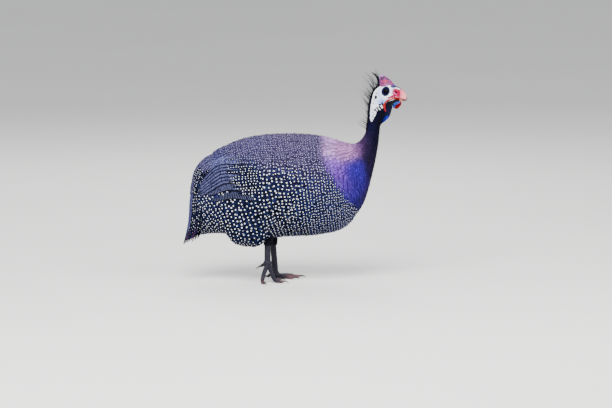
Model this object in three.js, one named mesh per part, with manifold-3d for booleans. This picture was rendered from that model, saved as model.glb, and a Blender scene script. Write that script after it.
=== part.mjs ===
// A life-size still model of a helmeted guinea fowl in mid step, in millimetres.
// +X is the way the body faces, +Y is its left side and +Z is up. The head turns to the bird's right.
import * as THREE from "three";
import { mergeVertices } from "three/addons/utils/BufferGeometryUtils.js";
import Module from "manifold-3d";

const wasm = await Module();
wasm.setup();

// Driving sizes
const GAP = 0.35; // between touching nodes
const BODY_SIDES = 22; // points round a body section
const TORSO_RINGS = 21; // sections from rump to the neck's foot
const NECK_RINGS = 20; // sections from there to the bill
const HEAD_TURN = THREE.MathUtils.degToRad(24); // towards the bird's right
const HEAD_TILT = 0.05; // rise of the bill per length forward
const TURN_AXIS_X = 208; // the head turns about an upright line through the neck
const TURN_FROM_Z = 300;
const TURN_TO_Z = 352;
const EYE = { x: 227.4, side: 8.2, z: 380.4, radius: 6.2 };
const EAR = { x: 206.8, side: 11.6, z: 367, radius: 2.3 };
const NOSTRIL = { x: 248.4, side: 9, z: 378.6, long: 3.4, high: 1.4 };
const FACE_END_X = 255; // the bill starts here
const MOUTH = { x: 255, z: 364.6, long: 15, fall: 13.7 }; // its line rises towards the back of the head

// Each section of the body runs from a point on the back to a point on the belly, [x, z] both.
// half is half the width there, and narrow draws the upper part in.
const SECTIONS = [
  { back: [-163, 101], belly: [-155, 93], half: 7, narrow: 0 },
  { back: [-166, 124], belly: [-146, 92.5], half: 17, narrow: 0 },
  { back: [-165, 152], belly: [-130, 95], half: 29, narrow: 0.02 },
  { back: [-161, 182], belly: [-111, 95.5], half: 42, narrow: 0.04 },
  { back: [-154, 207], belly: [-90, 93.5], half: 54, narrow: 0.06 },
  { back: [-141, 231], belly: [-66, 91], half: 63, narrow: 0.08 },
  { back: [-122, 259], belly: [-42, 89], half: 70, narrow: 0.1 },
  { back: [-96, 273], belly: [-18, 87], half: 75, narrow: 0.12 },
  { back: [-66, 285], belly: [2, 87], half: 78, narrow: 0.12 },
  { back: [-30, 292.5], belly: [24, 89], half: 79, narrow: 0.12 },
  { back: [10, 295.5], belly: [48, 90], half: 78, narrow: 0.12 },
  { back: [45, 295.5], belly: [74, 91], half: 75, narrow: 0.12 },
  { back: [75, 293.5], belly: [98, 94.5], half: 70, narrow: 0.11 },
  { back: [100, 289.5], belly: [121, 99], half: 63, narrow: 0.1 },
  { back: [121, 283.8], belly: [139, 107], half: 54, narrow: 0.09 },
  { back: [137, 279], belly: [153, 119], half: 45, narrow: 0.08 },
  { back: [149, 276], belly: [165, 136.5], half: 37, narrow: 0.07 },
  { back: [158, 275.5], belly: [176.5, 155.5], half: 30.5, narrow: 0.06 },
  { back: [166, 278.5], belly: [186, 182], half: 25, narrow: 0.04 },
  { back: [172.5, 284], belly: [194, 212], half: 21, narrow: 0.03 },
  { back: [177.5, 290.5], belly: [201.5, 246], half: 17.5, narrow: 0.02 },
  { back: [181, 298], belly: [206.5, 277], half: 14.8, narrow: 0 },
  { back: [183.2, 305.5], belly: [208.8, 300], half: 13, narrow: 0 },
  { back: [185.4, 314], belly: [210.5, 312], half: 12.2, narrow: 0 },
  { back: [186.5, 322], belly: [215.6, 317.5], half: 12, narrow: 0 },
  { back: [186.5, 332], belly: [223.2, 322.5], half: 12.1, narrow: 0 },
  { back: [186.5, 345], belly: [229.9, 331], half: 12.4, narrow: 0 },
  { back: [188.8, 359.5], belly: [234, 342], half: 12.8, narrow: 0 },
  { back: [192.7, 372.5], belly: [238.3, 351], half: 13.2, narrow: 0.02 },
  { back: [199.2, 384], belly: [243.3, 356.5], half: 13.5, narrow: 0.04 },
  { back: [209.1, 391.5], belly: [249.2, 359], half: 13.5, narrow: 0.05 },
  { back: [222.2, 395.3], belly: [255.2, 360.2], half: 12.7, narrow: 0.05 },
  { back: [235.9, 393.5], belly: [260.5, 360.8], half: 11.2, narrow: 0.02 },
  { back: [246.9, 389], belly: [264.4, 361.4], half: 9.4, narrow: 0 },
  { back: [255.1, 384.5], belly: [267.7, 362], half: 7.8, narrow: 0 },
  { back: [261.1, 380], belly: [270.4, 363], half: 6.2, narrow: 0 },
];

// Small tools

// A closed geometry as a solid.
function solidOf(geometry) {
  const bare = geometry.clone();
  bare.deleteAttribute("normal");
  bare.deleteAttribute("uv");
  const merged = mergeVertices(bare, 1e-4);
  const triVerts = new Uint32Array(merged.index.array);
  const vertProperties = merged.attributes.position.array;
  const made = new wasm.Manifold(new wasm.Mesh({ numProp: 3, vertProperties, triVerts }));
  if (made.volume() > 0) return made;
  for (let i = 0; i < triVerts.length; i += 3) {
    [triVerts[i + 1], triVerts[i + 2]] = [triVerts[i + 2], triVerts[i + 1]];
  }
  return new wasm.Manifold(new wasm.Mesh({ numProp: 3, vertProperties, triVerts }));
}

function geometryOf(solid) {
  const mesh = solid.getMesh();
  const stride = mesh.numProp;
  const place = new Float32Array(mesh.numVert * 3);
  for (let i = 0; i < mesh.numVert; i++) {
    place.set(mesh.vertProperties.subarray(i * stride, i * stride + 3), i * 3);
  }
  const geometry = new THREE.BufferGeometry();
  geometry.setAttribute("position", new THREE.BufferAttribute(place, 3));
  geometry.setIndex(new THREE.BufferAttribute(new Uint32Array(mesh.triVerts), 1));
  geometry.computeVertexNormals();
  return geometry;
}

// The largest closed surface of a solid, which drops scraps and fills sealed hollows.
function largest(solid) {
  return solid.decompose().reduce((a, b) => (b.volume() > a.volume() ? b : a));
}

function joined(solids) {
  return solids.reduce((a, b) => a.add(b));
}

// A closed solid through rings of equally many points, each end closed to its ring's middle.
function loft(rings) {
  const sides = rings[0].length;
  const points = rings.flat();
  const middle = (ring) => ring.reduce((a, p) => a.add(p), new THREE.Vector3()).divideScalar(ring.length);
  const first = points.push(middle(rings[0])) - 1;
  const last = points.push(middle(rings[rings.length - 1])) - 1;
  const index = [];
  for (let j = 0; j < sides; j++) {
    const k = (j + 1) % sides;
    index.push(first, k, j);
    for (let i = 0; i < rings.length - 1; i++) {
      const a = i * sides;
      const b = a + sides;
      index.push(a + j, a + k, b + j, a + k, b + k, b + j);
    }
    const end = (rings.length - 1) * sides;
    index.push(last, end + j, end + k);
  }
  const geometry = new THREE.BufferGeometry().setFromPoints(points);
  geometry.setIndex(index);
  return solidOf(geometry);
}

// A round or oval tube along a curve. radius(s) gives [across, upright] at share s of its length.
function tube(points, radius, sides, steps, up = new THREE.Vector3(0, 0, 1)) {
  const curve = new THREE.CatmullRomCurve3(points, false, "centripetal");
  const rings = [];
  for (let i = 0; i <= steps; i++) {
    const s = i / steps;
    const along = curve.getTangent(s);
    const across = new THREE.Vector3().crossVectors(along, up).normalize();
    const high = new THREE.Vector3().crossVectors(across, along).normalize();
    const [ra, rh] = radius(s);
    const centre = curve.getPoint(s);
    const ring = [];
    for (let j = 0; j < sides; j++) {
      const a = (2 * Math.PI * (j + 0.5)) / sides;
      const p = centre.clone();
      ring.push(p.addScaledVector(across, ra * Math.cos(a)).addScaledVector(high, rh * Math.sin(a)));
    }
    rings.push(ring);
  }
  return loft(rings);
}

// An oval ball with its axes along X, Y and Z.
function ball(centre, radii, across = 20, high = 12) {
  const geometry = new THREE.SphereGeometry(1, across, high);
  geometry.scale(...radii);
  geometry.translate(centre.x, centre.y, centre.z);
  return solidOf(geometry);
}

const at = (x, y, z) => new THREE.Vector3(x, y, z);
const mix = THREE.MathUtils.lerp;
const ease = THREE.MathUtils.smoothstep;

// A seeded random number from 0 to 1.
function seeded(seed) {
  let state = seed;
  return () => {
    state = (state * 1664525 + 1013904223) % 4294967296;
    return state / 4294967296;
  };
}

// The body, from the rump to the bill

const backLine = new THREE.CatmullRomCurve3(SECTIONS.map((s) => at(s.back[0], 0, s.back[1])));
const bellyLine = new THREE.CatmullRomCurve3(SECTIONS.map((s) => at(s.belly[0], 0, s.belly[1])));
const widthLine = new THREE.CatmullRomCurve3(SECTIONS.map((s) => at(s.half, s.narrow, 0)));

// A point of the body's surface: t from rump to bill, a round the section, 0 on the bird's left.
function bodyPoint(t, a, grow) {
  const back = backLine.getPoint(t);
  const belly = bellyLine.getPoint(t);
  const width = widthLine.getPoint(t);
  const centre = back.clone().add(belly).multiplyScalar(0.5);
  const upright = back.clone().sub(belly).multiplyScalar(0.5);
  const high = upright.length();
  const up = Math.sin(a);
  const out = Math.cos(a) * (1 - width.y * up);
  const point = centre.clone().addScaledVector(upright, up);
  point.y = width.x * out;
  const wanted = typeof grow === "function" ? grow(point) : grow;
  point.addScaledVector(upright, (wanted / high) * up);
  point.y += wanted * out;
  return point;
}

function bodyLoft(grow = 0) {
  const rings = [];
  for (let i = 0; i <= TORSO_RINGS + NECK_RINGS; i++) {
    const along = i < TORSO_RINGS ? (i / TORSO_RINGS) * 20 : 20 + ((i - TORSO_RINGS) / NECK_RINGS) * 15;
    const t = along / (SECTIONS.length - 1);
    const ring = [];
    for (let j = 0; j < BODY_SIDES; j++) {
      ring.push(bodyPoint(t, (2 * Math.PI * j) / BODY_SIDES, grow));
    }
    rings.push(ring);
  }
  return loft(rings);
}

// Turns what is above the neck about the neck's upright line, fully from TURN_TO_Z up.
function turned(solid) {
  return solid.warp((v) => {
    const angle = HEAD_TURN * ease(v[2], TURN_FROM_Z, TURN_TO_Z);
    const forward = v[0] - TURN_AXIS_X;
    const left = v[1];
    v[2] += HEAD_TILT * forward * ease(v[2], TURN_FROM_Z, TURN_TO_Z);
    v[0] = TURN_AXIS_X + forward * Math.cos(angle) + left * Math.sin(angle);
    v[1] = left * Math.cos(angle) - forward * Math.sin(angle);
  });
}

// A thin slab that parts the body across a plane through a point, after the head's turn.
function slab({ x, z, degrees }) {
  const geometry = new THREE.BoxGeometry(GAP, 90, 90);
  geometry.rotateY(-THREE.MathUtils.degToRad(degrees));
  geometry.translate(x - TURN_AXIS_X, 0, z);
  geometry.rotateZ(-HEAD_TURN * ease(z, TURN_FROM_Z, TURN_TO_Z));
  geometry.translate(TURN_AXIS_X, 0, 0);
  return solidOf(geometry);
}

const wholeBody = bodyLoft();
const grownBody = bodyLoft(GAP);

// Legs

// The right foot is coming off the ground on its toe tips, and the left one stands flat.
const LEGS = {
  right: {
    side: -1,
    hock: at(-15, -30, 98),
    pad: at(-15, -31, 38),
    toes: {
      inner: [at(-12, -28, 34), at(-7, -25, 19), at(-1, -20, 5.2), at(10, -14, 2.7)],
      middle: [at(-11, -32, 33), at(-6, -35, 18), at(1, -38, 5.2), at(16, -43, 2.7)],
      outer: [at(-16, -34, 34), at(-22, -42, 19), at(-25, -50, 5.2), at(-21, -63, 2.7)],
      hind: [at(-19, -29, 38), at(-28.5, -27, 32)],
    },
    claws: {
      inner: [at(7, -15.6, 3.8), at(15, -11.6, 4.2), at(21, -9, 1.6)],
      middle: [at(13, -42, 3.8), at(22, -45, 4.2), at(28, -47, 1.6)],
      outer: [at(-22, -60, 3.8), at(-19, -68, 4.2), at(-16.6, -73.5, 1.6)],
      hind: [at(-27, -27.3, 33), at(-33.5, -26, 30), at(-38, -25.5, 26)],
    },
  },
  left: {
    side: 1,
    hock: at(-5, 30, 83),
    pad: at(0, 30, 8.2),
    toes: {
      inner: [at(3, 27.5, 6.5), at(16, 22.5, 4.2), at(28, 17, 3.7), at(37, 13, 3.1)],
      middle: [at(4, 31, 6.5), at(20, 32, 4.2), at(36, 32.5, 3.7), at(49, 33, 3.1)],
      outer: [at(2, 34, 6.5), at(12, 42.5, 4.2), at(22, 50, 3.7), at(29, 55, 3.1)],
      hind: [at(-5, 29, 10), at(-16, 26.8, 3.4)],
    },
    claws: {
      inner: [at(34, 14.3, 3.8), at(43, 10.5, 4.2), at(48.5, 8.4, 1.6)],
      middle: [at(46, 32.9, 3.8), at(56, 33.4, 4.2), at(62, 33.6, 1.6)],
      outer: [at(26.7, 53.4, 3.8), at(34, 58.4, 4.2), at(38.5, 61.6, 1.6)],
      hind: [at(-14, 27.2, 4.4), at(-21, 25.8, 4.4), at(-26, 24.8, 1.6)],
    },
  },
};
const SHANK = { hock: 6.6, middle: 4.5, foot: 5.4, scutes: 10, raised: 0.45 };
const TOE = { root: 4.5, tip: 3.3, joints: 3, swell: 0.5 };
const CLAW = { root: 2.3, tip: 0.45 };
const THIGH = { x: -44, side: 41, z: 128, radii: [56, 27, 58] };

function thigh(leg, grow) {
  const centre = at(THIGH.x, leg.side * THIGH.side, THIGH.z);
  const lobe = ball(centre, THIGH.radii.map((r) => r + grow), 14, 9);
  const knee = at(leg.hock.x - 14, leg.hock.y + 6 * leg.side, leg.hock.z + 30);
  const shin = tube(
    [knee, leg.hock.clone().add(at(0, 0, 3))],
    (s) => [mix(17, 8.6, s) + grow, mix(17, 9.4, s) + grow],
    10,
    3,
    at(1, 0, 0),
  );
  return lobe.add(shin);
}

function toe(path, grow, hind) {
  const root = hind ? TOE.root * 0.8 : TOE.root;
  const tip = hind ? TOE.tip * 0.85 : TOE.tip;
  return tube(
    path,
    (s) => {
      const pads = TOE.swell * Math.abs(Math.sin(Math.PI * TOE.joints * s));
      const end = s > 0.99 ? 0.62 : 1;
      const r = (mix(root, tip, s) + pads) * end + grow;
      return [r, r * 0.96];
    },
    7,
    7,
  );
}

function footSolid(leg, grow = 0) {
  const pieces = [ball(leg.pad, [8.6 + grow, 7.4 + grow, 8.6 + grow], 10, 6)];
  for (const [name, path] of Object.entries(leg.toes)) pieces.push(toe(path, grow, name === "hind"));
  const floor = new THREE.BoxGeometry(400, 400, 100);
  floor.translate(0, 0, -50);
  return largest(joined(pieces).subtract(solidOf(floor)));
}

// The bare shank, with scutes as steps down its front.
function shankSolid(leg, grow = 0) {
  const top = leg.hock.clone().add(at(0, 0, 5));
  const steps = SHANK.scutes * 2 + 1;
  const bare = (s) => {
    const knob = mix(SHANK.hock, SHANK.middle, ease(s, 0, 0.28));
    const stepUp = Math.round(s * steps) % 2 === 1 ? SHANK.raised : 0;
    const r = mix(knob, SHANK.foot, ease(s, 0.6, 1)) + stepUp + grow;
    return [r * 0.94, r * 1.06];
  };
  return tube([top, leg.hock, leg.pad.clone().add(at(0, 0, 2))], bare, 9, steps, at(1, 0, 0));
}

function clawSolid(path) {
  return tube(path, (s) => [mix(CLAW.root, CLAW.tip, s), mix(CLAW.root * 1.05, CLAW.tip, s)], 6, 3);
}

// Head

// An oval flap that hangs from the corner of the mouth.
function wattle({ path, half, thick, across }) {
  const curve = new THREE.CatmullRomCurve3(path);
  const steps = 7;
  const sides = 8;
  const rings = [];
  for (let i = 0; i <= steps; i++) {
    const s = i / steps;
    const along = curve.getTangent(s);
    const wide = across.clone().addScaledVector(along, -across.dot(along)).normalize();
    const flat = new THREE.Vector3().crossVectors(along, wide);
    const round = Math.sqrt(Math.max(0.02, Math.sin(Math.PI * mix(0.14, 0.985, s))));
    const reach = half * round * mix(0.75, 1, s);
    const depth = thick * mix(1, 0.75, s);
    const centre = curve.getPoint(s);
    const ring = [];
    for (let j = 0; j < sides; j++) {
      const a = (2 * Math.PI * j) / sides;
      const p = centre.clone().addScaledVector(wide, reach * Math.cos(a));
      const cup = 1.4 * Math.cos(a) ** 2 * s;
      ring.push(p.addScaledVector(flat, depth * 0.5 * Math.sin(a) + cup));
    }
    rings.push(ring);
  }
  return loft(rings);
}

const WATTLES = {
  right: {
    path: [at(243, -10.4, 367.5), at(234, -13, 362.5), at(228.4, -16, 353), at(228.4, -17.4, 338.4)],
    half: 6.4,
    thick: 2.4,
    across: at(0.02, -1, 0),
  },
  left: {
    path: [at(244, 9, 364.5), at(245.4, 12.4, 359.5), at(244.8, 15, 353), at(242.6, 16, 345)],
    half: 8.6,
    thick: 2.6,
    across: at(0.95, -0.25, 0.25),
  },
};

// The horn on the crown, through level oval sections [z, back x, front x, half width].
const CASQUE = [
  [387, 209.6, 247, 8.4],
  [393, 209.4, 240.5, 8],
  [398, 209.2, 236, 7.4],
  [402, 209.1, 232.4, 6.7],
  [406, 209.1, 227.2, 5.7],
  [409.5, 209.6, 222, 4.4],
  [412, 210.8, 218, 2.7],
  [413.3, 212.4, 215.2, 0.9],
];

function casqueSolid(grow = 0) {
  const sides = 14;
  const rings = CASQUE.map(([z, backX, frontX, half]) => {
    const ring = [];
    for (let j = 0; j < sides; j++) {
      const a = (2 * Math.PI * j) / sides;
      const x = (backX + frontX) / 2 + ((frontX - backX) / 2 + grow) * Math.cos(a);
      // The front edge is keeled, so the section narrows towards it.
      ring.push(at(x, (half + grow) * Math.sin(a) * (1 - 0.25 * Math.cos(a)), z));
    }
    return ring;
  });
  return loft(rings);
}

// Bill halves, through upright sections [x, top z, bottom z, half width].
const UPPER_BILL = [
  [255.35, 384.4, 364.9, 8.2],
  [259, 381.6, 364.4, 7.1],
  [262, 378.2, 364, 5.7],
  [264.7, 374.2, 363.6, 4.5],
  [266.6, 369.8, 363, 3.1],
  [267.8, 366.6, 362.4, 1.9],
  [268.3, 364.8, 362, 0.8],
];
const LOWER_BILL = [
  [255.35, 364.4, 359, 7.2],
  [259, 363.9, 359.2, 5.8],
  [262, 363.5, 359.6, 4.6],
  [264.4, 363, 360, 3.2],
  [266.2, 362.5, 360.6, 1.7],
];

function billHalf(sections, roundTop) {
  const sides = 12;
  const rings = sections.map(([x, top, bottom, half]) => {
    const ring = [];
    for (let j = 0; j < sides; j++) {
      const a = (2 * Math.PI * j) / sides;
      const arch = roundTop ? Math.sin(a) : -Math.sin(a);
      // The half towards the mouth is nearly flat, and the other is arched.
      const flat = arch > 0 ? arch : arch * 0.999;
      const mouth = roundTop ? bottom : top;
      const ridge = roundTop ? top : bottom;
      const rise = arch > 0 ? flat : 0.08 * flat;
      ring.push(at(x, half * Math.cos(a) * (arch > 0 ? 1 : 0.93), mix(mouth, ridge, (rise + 0.08) / 1.08)));
    }
    return ring;
  });
  return loft(rings);
}

// A raised ring of lid round each eye.
function lid(side) {
  const geometry = new THREE.TorusGeometry(EYE.radius * 0.93, 1.15, 6, 16);
  geometry.rotateX(Math.PI / 2);
  geometry.scale(1.12, 1, 0.96);
  geometry.rotateZ(-side * 0.13);
  geometry.translate(EYE.x, side * (EYE.side + 4.2), EYE.z);
  return solidOf(geometry);
}

// Hair-like plumes in a ridge down the nape, longest at the top.
const CREST = {
  from: 0.855,
  to: 0.62,
  ridge: [3.4, 2.6],
  count: 18,
  longest: 31,
  shortest: 15,
  thick: 0.85,
  tip: 0.25,
};

function crestSolid() {
  const random = seeded(7);
  const line = [];
  for (let s = 0; s < 1.01; s += 0.1) line.push(bodyPoint(mix(CREST.from, CREST.to, s), Math.PI / 2, 0));
  const ridge = tube(
    line,
    (s) => CREST.ridge.map((r) => r * Math.sqrt(Math.sin(Math.PI * mix(0.2, 0.86, s)))),
    8,
    9,
    at(-1, 0, 0.3),
  );
  const pieces = [ridge];
  for (let i = 0; i < CREST.count; i++) {
    const share = i / (CREST.count - 1);
    const t = mix(CREST.from - 0.004, CREST.to + 0.012, share);
    const aside = (random() - 0.5) * 2.6;
    const root = bodyPoint(t, Math.PI / 2, -0.4).add(at(0, aside, 0));
    const length = mix(CREST.longest, CREST.shortest, share ** 0.8) * mix(0.85, 1.1, random());
    const lift = mix(98, 22, share ** 0.6) + (random() - 0.5) * 16;
    const rise = THREE.MathUtils.degToRad(lift);
    const way = at(-Math.cos(rise), aside * 0.12 + (random() - 0.5) * 0.25, Math.sin(rise)).normalize();
    // The upper plumes curl over backwards and the lower ones curl up.
    const curl = share < 0.35 ? at(-0.95, 0, -0.1) : at(-0.5, 0, 0.3);
    const path = [0, 0.4, 0.75, 1].map((s) =>
      root.clone().addScaledVector(way, length * s).addScaledVector(curl, length * 0.42 * s * s),
    );
    const thick = (s) => [1, 1].map(() => mix(CREST.thick, CREST.tip, s ** 1.3));
    pieces.push(tube(path, thick, 3, 4, at(0, 1, 0)));
  }
  return largest(joined(pieces).subtract(grownBody).subtract(casqueSolid(GAP)));
}

// Feathers of wing and tail

// A thin vane. place(s, w) gives a point of its mid face and the way out, with s from root to tip
// and w from edge to edge.
function vane(place, thick, steps) {
  const points = [];
  for (let i = 0; i <= steps; i++) {
    for (const w of [-1, 1]) {
      const { point, out } = place(i / steps, w);
      for (const part of [0.5, -0.5]) points.push(point.clone().addScaledVector(out, thick * part));
    }
  }
  // Four points to a step: upper and under face of one edge, then of the other.
  const index = [];
  const quad = (a, b, c, d) => index.push(a, b, c, a, c, d);
  for (let i = 0; i < steps; i++) {
    const a = 4 * i;
    quad(a, a + 2, a + 6, a + 4);
    index.push(a + 1, a + 7, a + 3, a + 1, a + 5, a + 7);
    quad(a, a + 4, a + 5, a + 1);
    quad(a + 2, a + 3, a + 7, a + 6);
  }
  const end = 4 * steps;
  quad(0, 1, 3, 2);
  quad(end, end + 2, end + 3, end + 1);
  const geometry = new THREE.BufferGeometry().setFromPoints(points);
  geometry.setIndex(index);
  return solidOf(geometry);
}

// A point over the flank: section number, degrees up from the widest line, and height over the body.
function flankPoint(section, degrees, side, height = 0) {
  const up = THREE.MathUtils.degToRad(degrees);
  return bodyPoint(section / (SECTIONS.length - 1), side > 0 ? up : Math.PI - up, height);
}

function flankNormal(section, degrees, side) {
  const along = flankPoint(section + 0.3, degrees, side).sub(flankPoint(section - 0.3, degrees, side));
  const up = flankPoint(section, degrees + 3, side).sub(flankPoint(section, degrees - 3, side));
  return up.cross(along).multiplyScalar(side).normalize();
}

// The folded wing is a low swelling on the flank, inside a closed line of [section, degrees].
const WING = {
  edge: [
    [18, 20], [16.4, 46], [13, 60], [9, 68], [5.6, 68], [4.4, 50],
    [4.6, 24], [6.4, 0], [10, -16], [14, -16], [17, -2],
  ],
  middle: [11, 24],
  rise: 3.6,
  rings: 3,
  spokes: 20,
};
const wingEdge = new THREE.CatmullRomCurve3(WING.edge.map(([k, a]) => at(k, a, 0)), true);
const wingMiddle = at(...WING.middle, 0);

// A point of the wing's swelling: round its edge and out from its middle, 0 to 1 both.
function wingPoint(round, out, side, height) {
  const c = wingMiddle.clone().lerp(wingEdge.getPoint(round), out);
  return flankPoint(c.x, c.y, side).addScaledVector(flankNormal(c.x, c.y, side), height);
}

// The swelling's height at a chart point.
function wingRise(k, a) {
  const dx = (k - WING.middle[0]) / 7;
  const dy = (a - WING.middle[1]) / 44;
  const out = Math.hypot(dx, dy);
  return WING.rise * Math.sqrt(Math.max(0, 1 - out ** 3));
}

function wingShell(side) {
  const points = [wingPoint(0, 0, side, WING.rise), wingPoint(0, 0, side, -1)];
  const index = [];
  const put = (a, b, c) => (side > 0 ? index.push(a, b, c) : index.push(a, c, b));
  const { rings, spokes } = WING;
  for (let i = 1; i <= rings; i++) {
    const out = i / rings;
    const height = WING.rise * Math.sqrt(1 - out ** 3);
    const over = i < rings ? height : 0.6;
    for (let j = 0; j < spokes; j++) points.push(wingPoint(j / spokes, out, side, over));
    for (let j = 0; j < spokes; j++) points.push(wingPoint(j / spokes, out, side, -1));
  }
  const top = (i, j) => 2 + (i - 1) * 2 * spokes + (j % spokes);
  const under = (i, j) => top(i, j) + spokes;
  for (let j = 0; j < spokes; j++) {
    put(0, top(1, j + 1), top(1, j));
    put(1, under(1, j), under(1, j + 1));
    for (let i = 1; i < rings; i++) {
      put(top(i, j), top(i, j + 1), top(i + 1, j));
      put(top(i, j + 1), top(i + 1, j + 1), top(i + 1, j));
      put(under(i, j), under(i + 1, j), under(i, j + 1));
      put(under(i, j + 1), under(i + 1, j), under(i + 1, j + 1));
    }
    put(top(rings, j), top(rings, j + 1), under(rings, j));
    put(top(rings, j + 1), under(rings, j + 1), under(rings, j));
  }
  const geometry = new THREE.BufferGeometry().setFromPoints(points);
  geometry.setIndex(index);
  return solidOf(geometry);
}

// Feathers in tiers. Each tier's roots and tips lie on two lines of [section, degrees].
const WING_TIERS = [
  {
    name: "secondaries",
    count: 8,
    root: [[8.6, 60], [8.4, 40], [8.2, 20], [8.4, -6]],
    tip: [[4.5, 73], [3.6, 57], [3.5, 38], [4.6, 8]],
    half: [11, 9.4],
    lift: [-2.6, 1.5, 1.8],
  },
  {
    name: "greater coverts",
    count: 6,
    root: [[10.6, 60], [10.3, 38], [10, 18], [10.2, -9]],
    tip: [[7.2, 66], [6.6, 44], [6.4, 22], [7.2, -6]],
    half: [12.6, 12],
    lift: [-2.6, 1.5, 4.8],
  },
  {
    name: "middle coverts",
    count: 5,
    root: [[13, 54], [12.8, 36], [12.6, 16], [12.6, -8]],
    tip: [[9.4, 63], [8.9, 42], [8.7, 20], [9.2, -8]],
    half: [14, 13.4],
    lift: [-2.6, 1.5, 4.6],
  },
];
const VANE = { thick: 0.8, tilt: 1.1, steps: 3, round: [0.3, 0.965] };

const chartLine = (points) => new THREE.CatmullRomCurve3(points.map(([k, a]) => at(k, a, 0)));

function wingVanes(side) {
  const found = [];
  for (const tier of WING_TIERS) {
    const rootLine = chartLine(tier.root);
    const tipLine = chartLine(tier.tip);
    for (let i = 0; i < tier.count; i++) {
      const f = i / (tier.count - 1);
      const root = rootLine.getPoint(f);
      const tip = tipLine.getPoint(f);
      const half = mix(...tier.half, f);
      const on = (s) => root.clone().lerp(tip, s);
      const halfAt = (s) => half * Math.sqrt(Math.max(0.05, Math.sin(Math.PI * mix(...VANE.round, s))));
      const place = (s, w) => {
        // w runs from -1 at the upper edge to 1 at the lower one, which lies over the next vane down.
        const c = on(s);
        const ahead = flankPoint(on(s - 0.05).x, on(s - 0.05).y, side);
        const way = flankPoint(c.x, c.y, side).sub(ahead).normalize();
        const out = flankNormal(c.x, c.y, side);
        const down = way.clone().cross(out).multiplyScalar(side).normalize();
        const reach = halfAt(s) * w;
        const [low, clear, high] = tier.lift;
        const lift = s < 0.33 ? mix(low, clear, s / 0.33) : mix(clear, high, (s - 0.33) / 0.67);
        const height = wingRise(c.x, c.y) + lift + VANE.tilt * w - (reach * reach) / 140;
        return {
          point: flankPoint(c.x, c.y, side).addScaledVector(down, reach).addScaledVector(out, height),
          out,
        };
      };
      found.push(vane(place, VANE.thick, VANE.steps));
    }
  }
  return found;
}

function wingSolid(side) {
  const whole = joined([wingShell(side), ...wingVanes(side)]);
  return largest(whole.subtract(grownBody).subtract(tailRoot(TAIL.clear)));
}

// The tail hangs steeply from the rump, its vanes laid like a roof with the middle pair on top.
const TAIL = {
  line: [[-143, 243], [-157, 222], [-166, 196], [-171.5, 168], [-175, 138], [-179, 108], [-186, 72]],
  pairs: 6,
  half: 10.4,
  spread: 6,
  layer: 1.6,
  roof: 42,
  clear: 3, // room for the tail's vanes beside the wings
  coverts: 5,
  covertHalf: 11,
  root: { rows: 6, sides: 16, from: 0.02, to: 0.6, wide: [39, 20], thick: [6.4, 3], depth: 6.4 },
};
const tailLine = new THREE.CatmullRomCurve3(TAIL.line.map(([x, z]) => at(x, 0, z)));

// A point of the tail: s down its length, aside from its middle, and depth under its upper face.
function tailPoint(s, aside, depth) {
  const p = tailLine.getPoint(s);
  const inward = tailInward(s);
  const wrap = (aside * aside) / (2 * TAIL.roof);
  return p.addScaledVector(inward, depth + wrap).add(at(0, aside, 0));
}

function tailInward(s) {
  const way = tailLine.getTangent(s);
  return at(-way.z, 0, way.x);
}

// The root that carries the vanes, a roof of flesh and coverts over the rump.
function tailRoot(grow = 0) {
  const { rows, sides, from, to, wide, thick, depth } = TAIL.root;
  const rings = [];
  for (let i = 0; i <= rows; i++) {
    const f = i / rows;
    const ring = [];
    for (let j = 0; j < sides; j++) {
      const a = (2 * Math.PI * j) / sides;
      const aside = (mix(...wide, f) + grow) * Math.cos(a);
      ring.push(tailPoint(mix(from, to, f), aside, depth + (mix(...thick, f) + grow) * Math.sin(a)));
    }
    rings.push(ring);
  }
  return loft(rings);
}

function tailVane({ offset, from, to, half, depth, side, steps }) {
  const place = (s, w) => {
    const q = mix(from, to, s);
    const gather = mix(1.15, 0.75, s);
    const reach = half * Math.sqrt(Math.max(0.06, Math.sin(Math.PI * mix(0.33, 0.97, s)))) * w;
    const aside = offset * gather + reach;
    const roofSlope = aside / TAIL.roof;
    const out = tailInward(q).negate().add(at(0, roofSlope, 0)).normalize();
    return { point: tailPoint(q, aside, depth + 0.55 * side * w), out };
  };
  return vane(place, VANE.thick, steps);
}

function tailSolid() {
  const pieces = [tailRoot()];
  for (let i = 0; i < TAIL.pairs; i++) {
    for (const side of [-1, 1]) {
      pieces.push(tailVane({
        offset: side * (2.2 + TAIL.spread * i),
        from: 0.12,
        to: 1 - 0.014 * i - 0.0045 * i * i,
        half: TAIL.half,
        depth: 1.6 + TAIL.layer * i + (i === 0 && side > 0 ? 0.8 : 0),
        side,
        steps: 4,
      }));
    }
  }
  for (let i = 0; i < TAIL.coverts; i++) {
    const share = (2 * i) / (TAIL.coverts - 1) - 1;
    pieces.push(tailVane({
      offset: share * 25,
      from: 0.03,
      to: 0.42 - 0.1 * share * share,
      half: TAIL.covertHalf,
      depth: -1.6 + 1.2 * (i % 2) + 0.5 * Math.abs(share),
      side: share < 0 ? -1 : 1,
      steps: 3,
    }));
  }
  return largest(joined(pieces).subtract(grownBody));
}

// Putting the bird together

const nodes = new Map();

const thighs = {};
for (const [name, leg] of Object.entries(LEGS)) {
  const foot = footSolid(leg);
  nodes.set("foot_" + name, foot);
  const shank = shankSolid(leg);
  nodes.set("shank_" + name, largest(shank.subtract(footSolid(leg, GAP))));
  thighs[name] = thigh(leg, 0).subtract(shankSolid(leg, GAP));
  for (const [toeName, path] of Object.entries(leg.claws)) {
    const clear = toe(leg.toes[toeName], GAP, toeName === "hind");
    nodes.set("claw_" + name + "_" + toeName, largest(clawSolid(path).subtract(clear)));
  }
}

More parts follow.
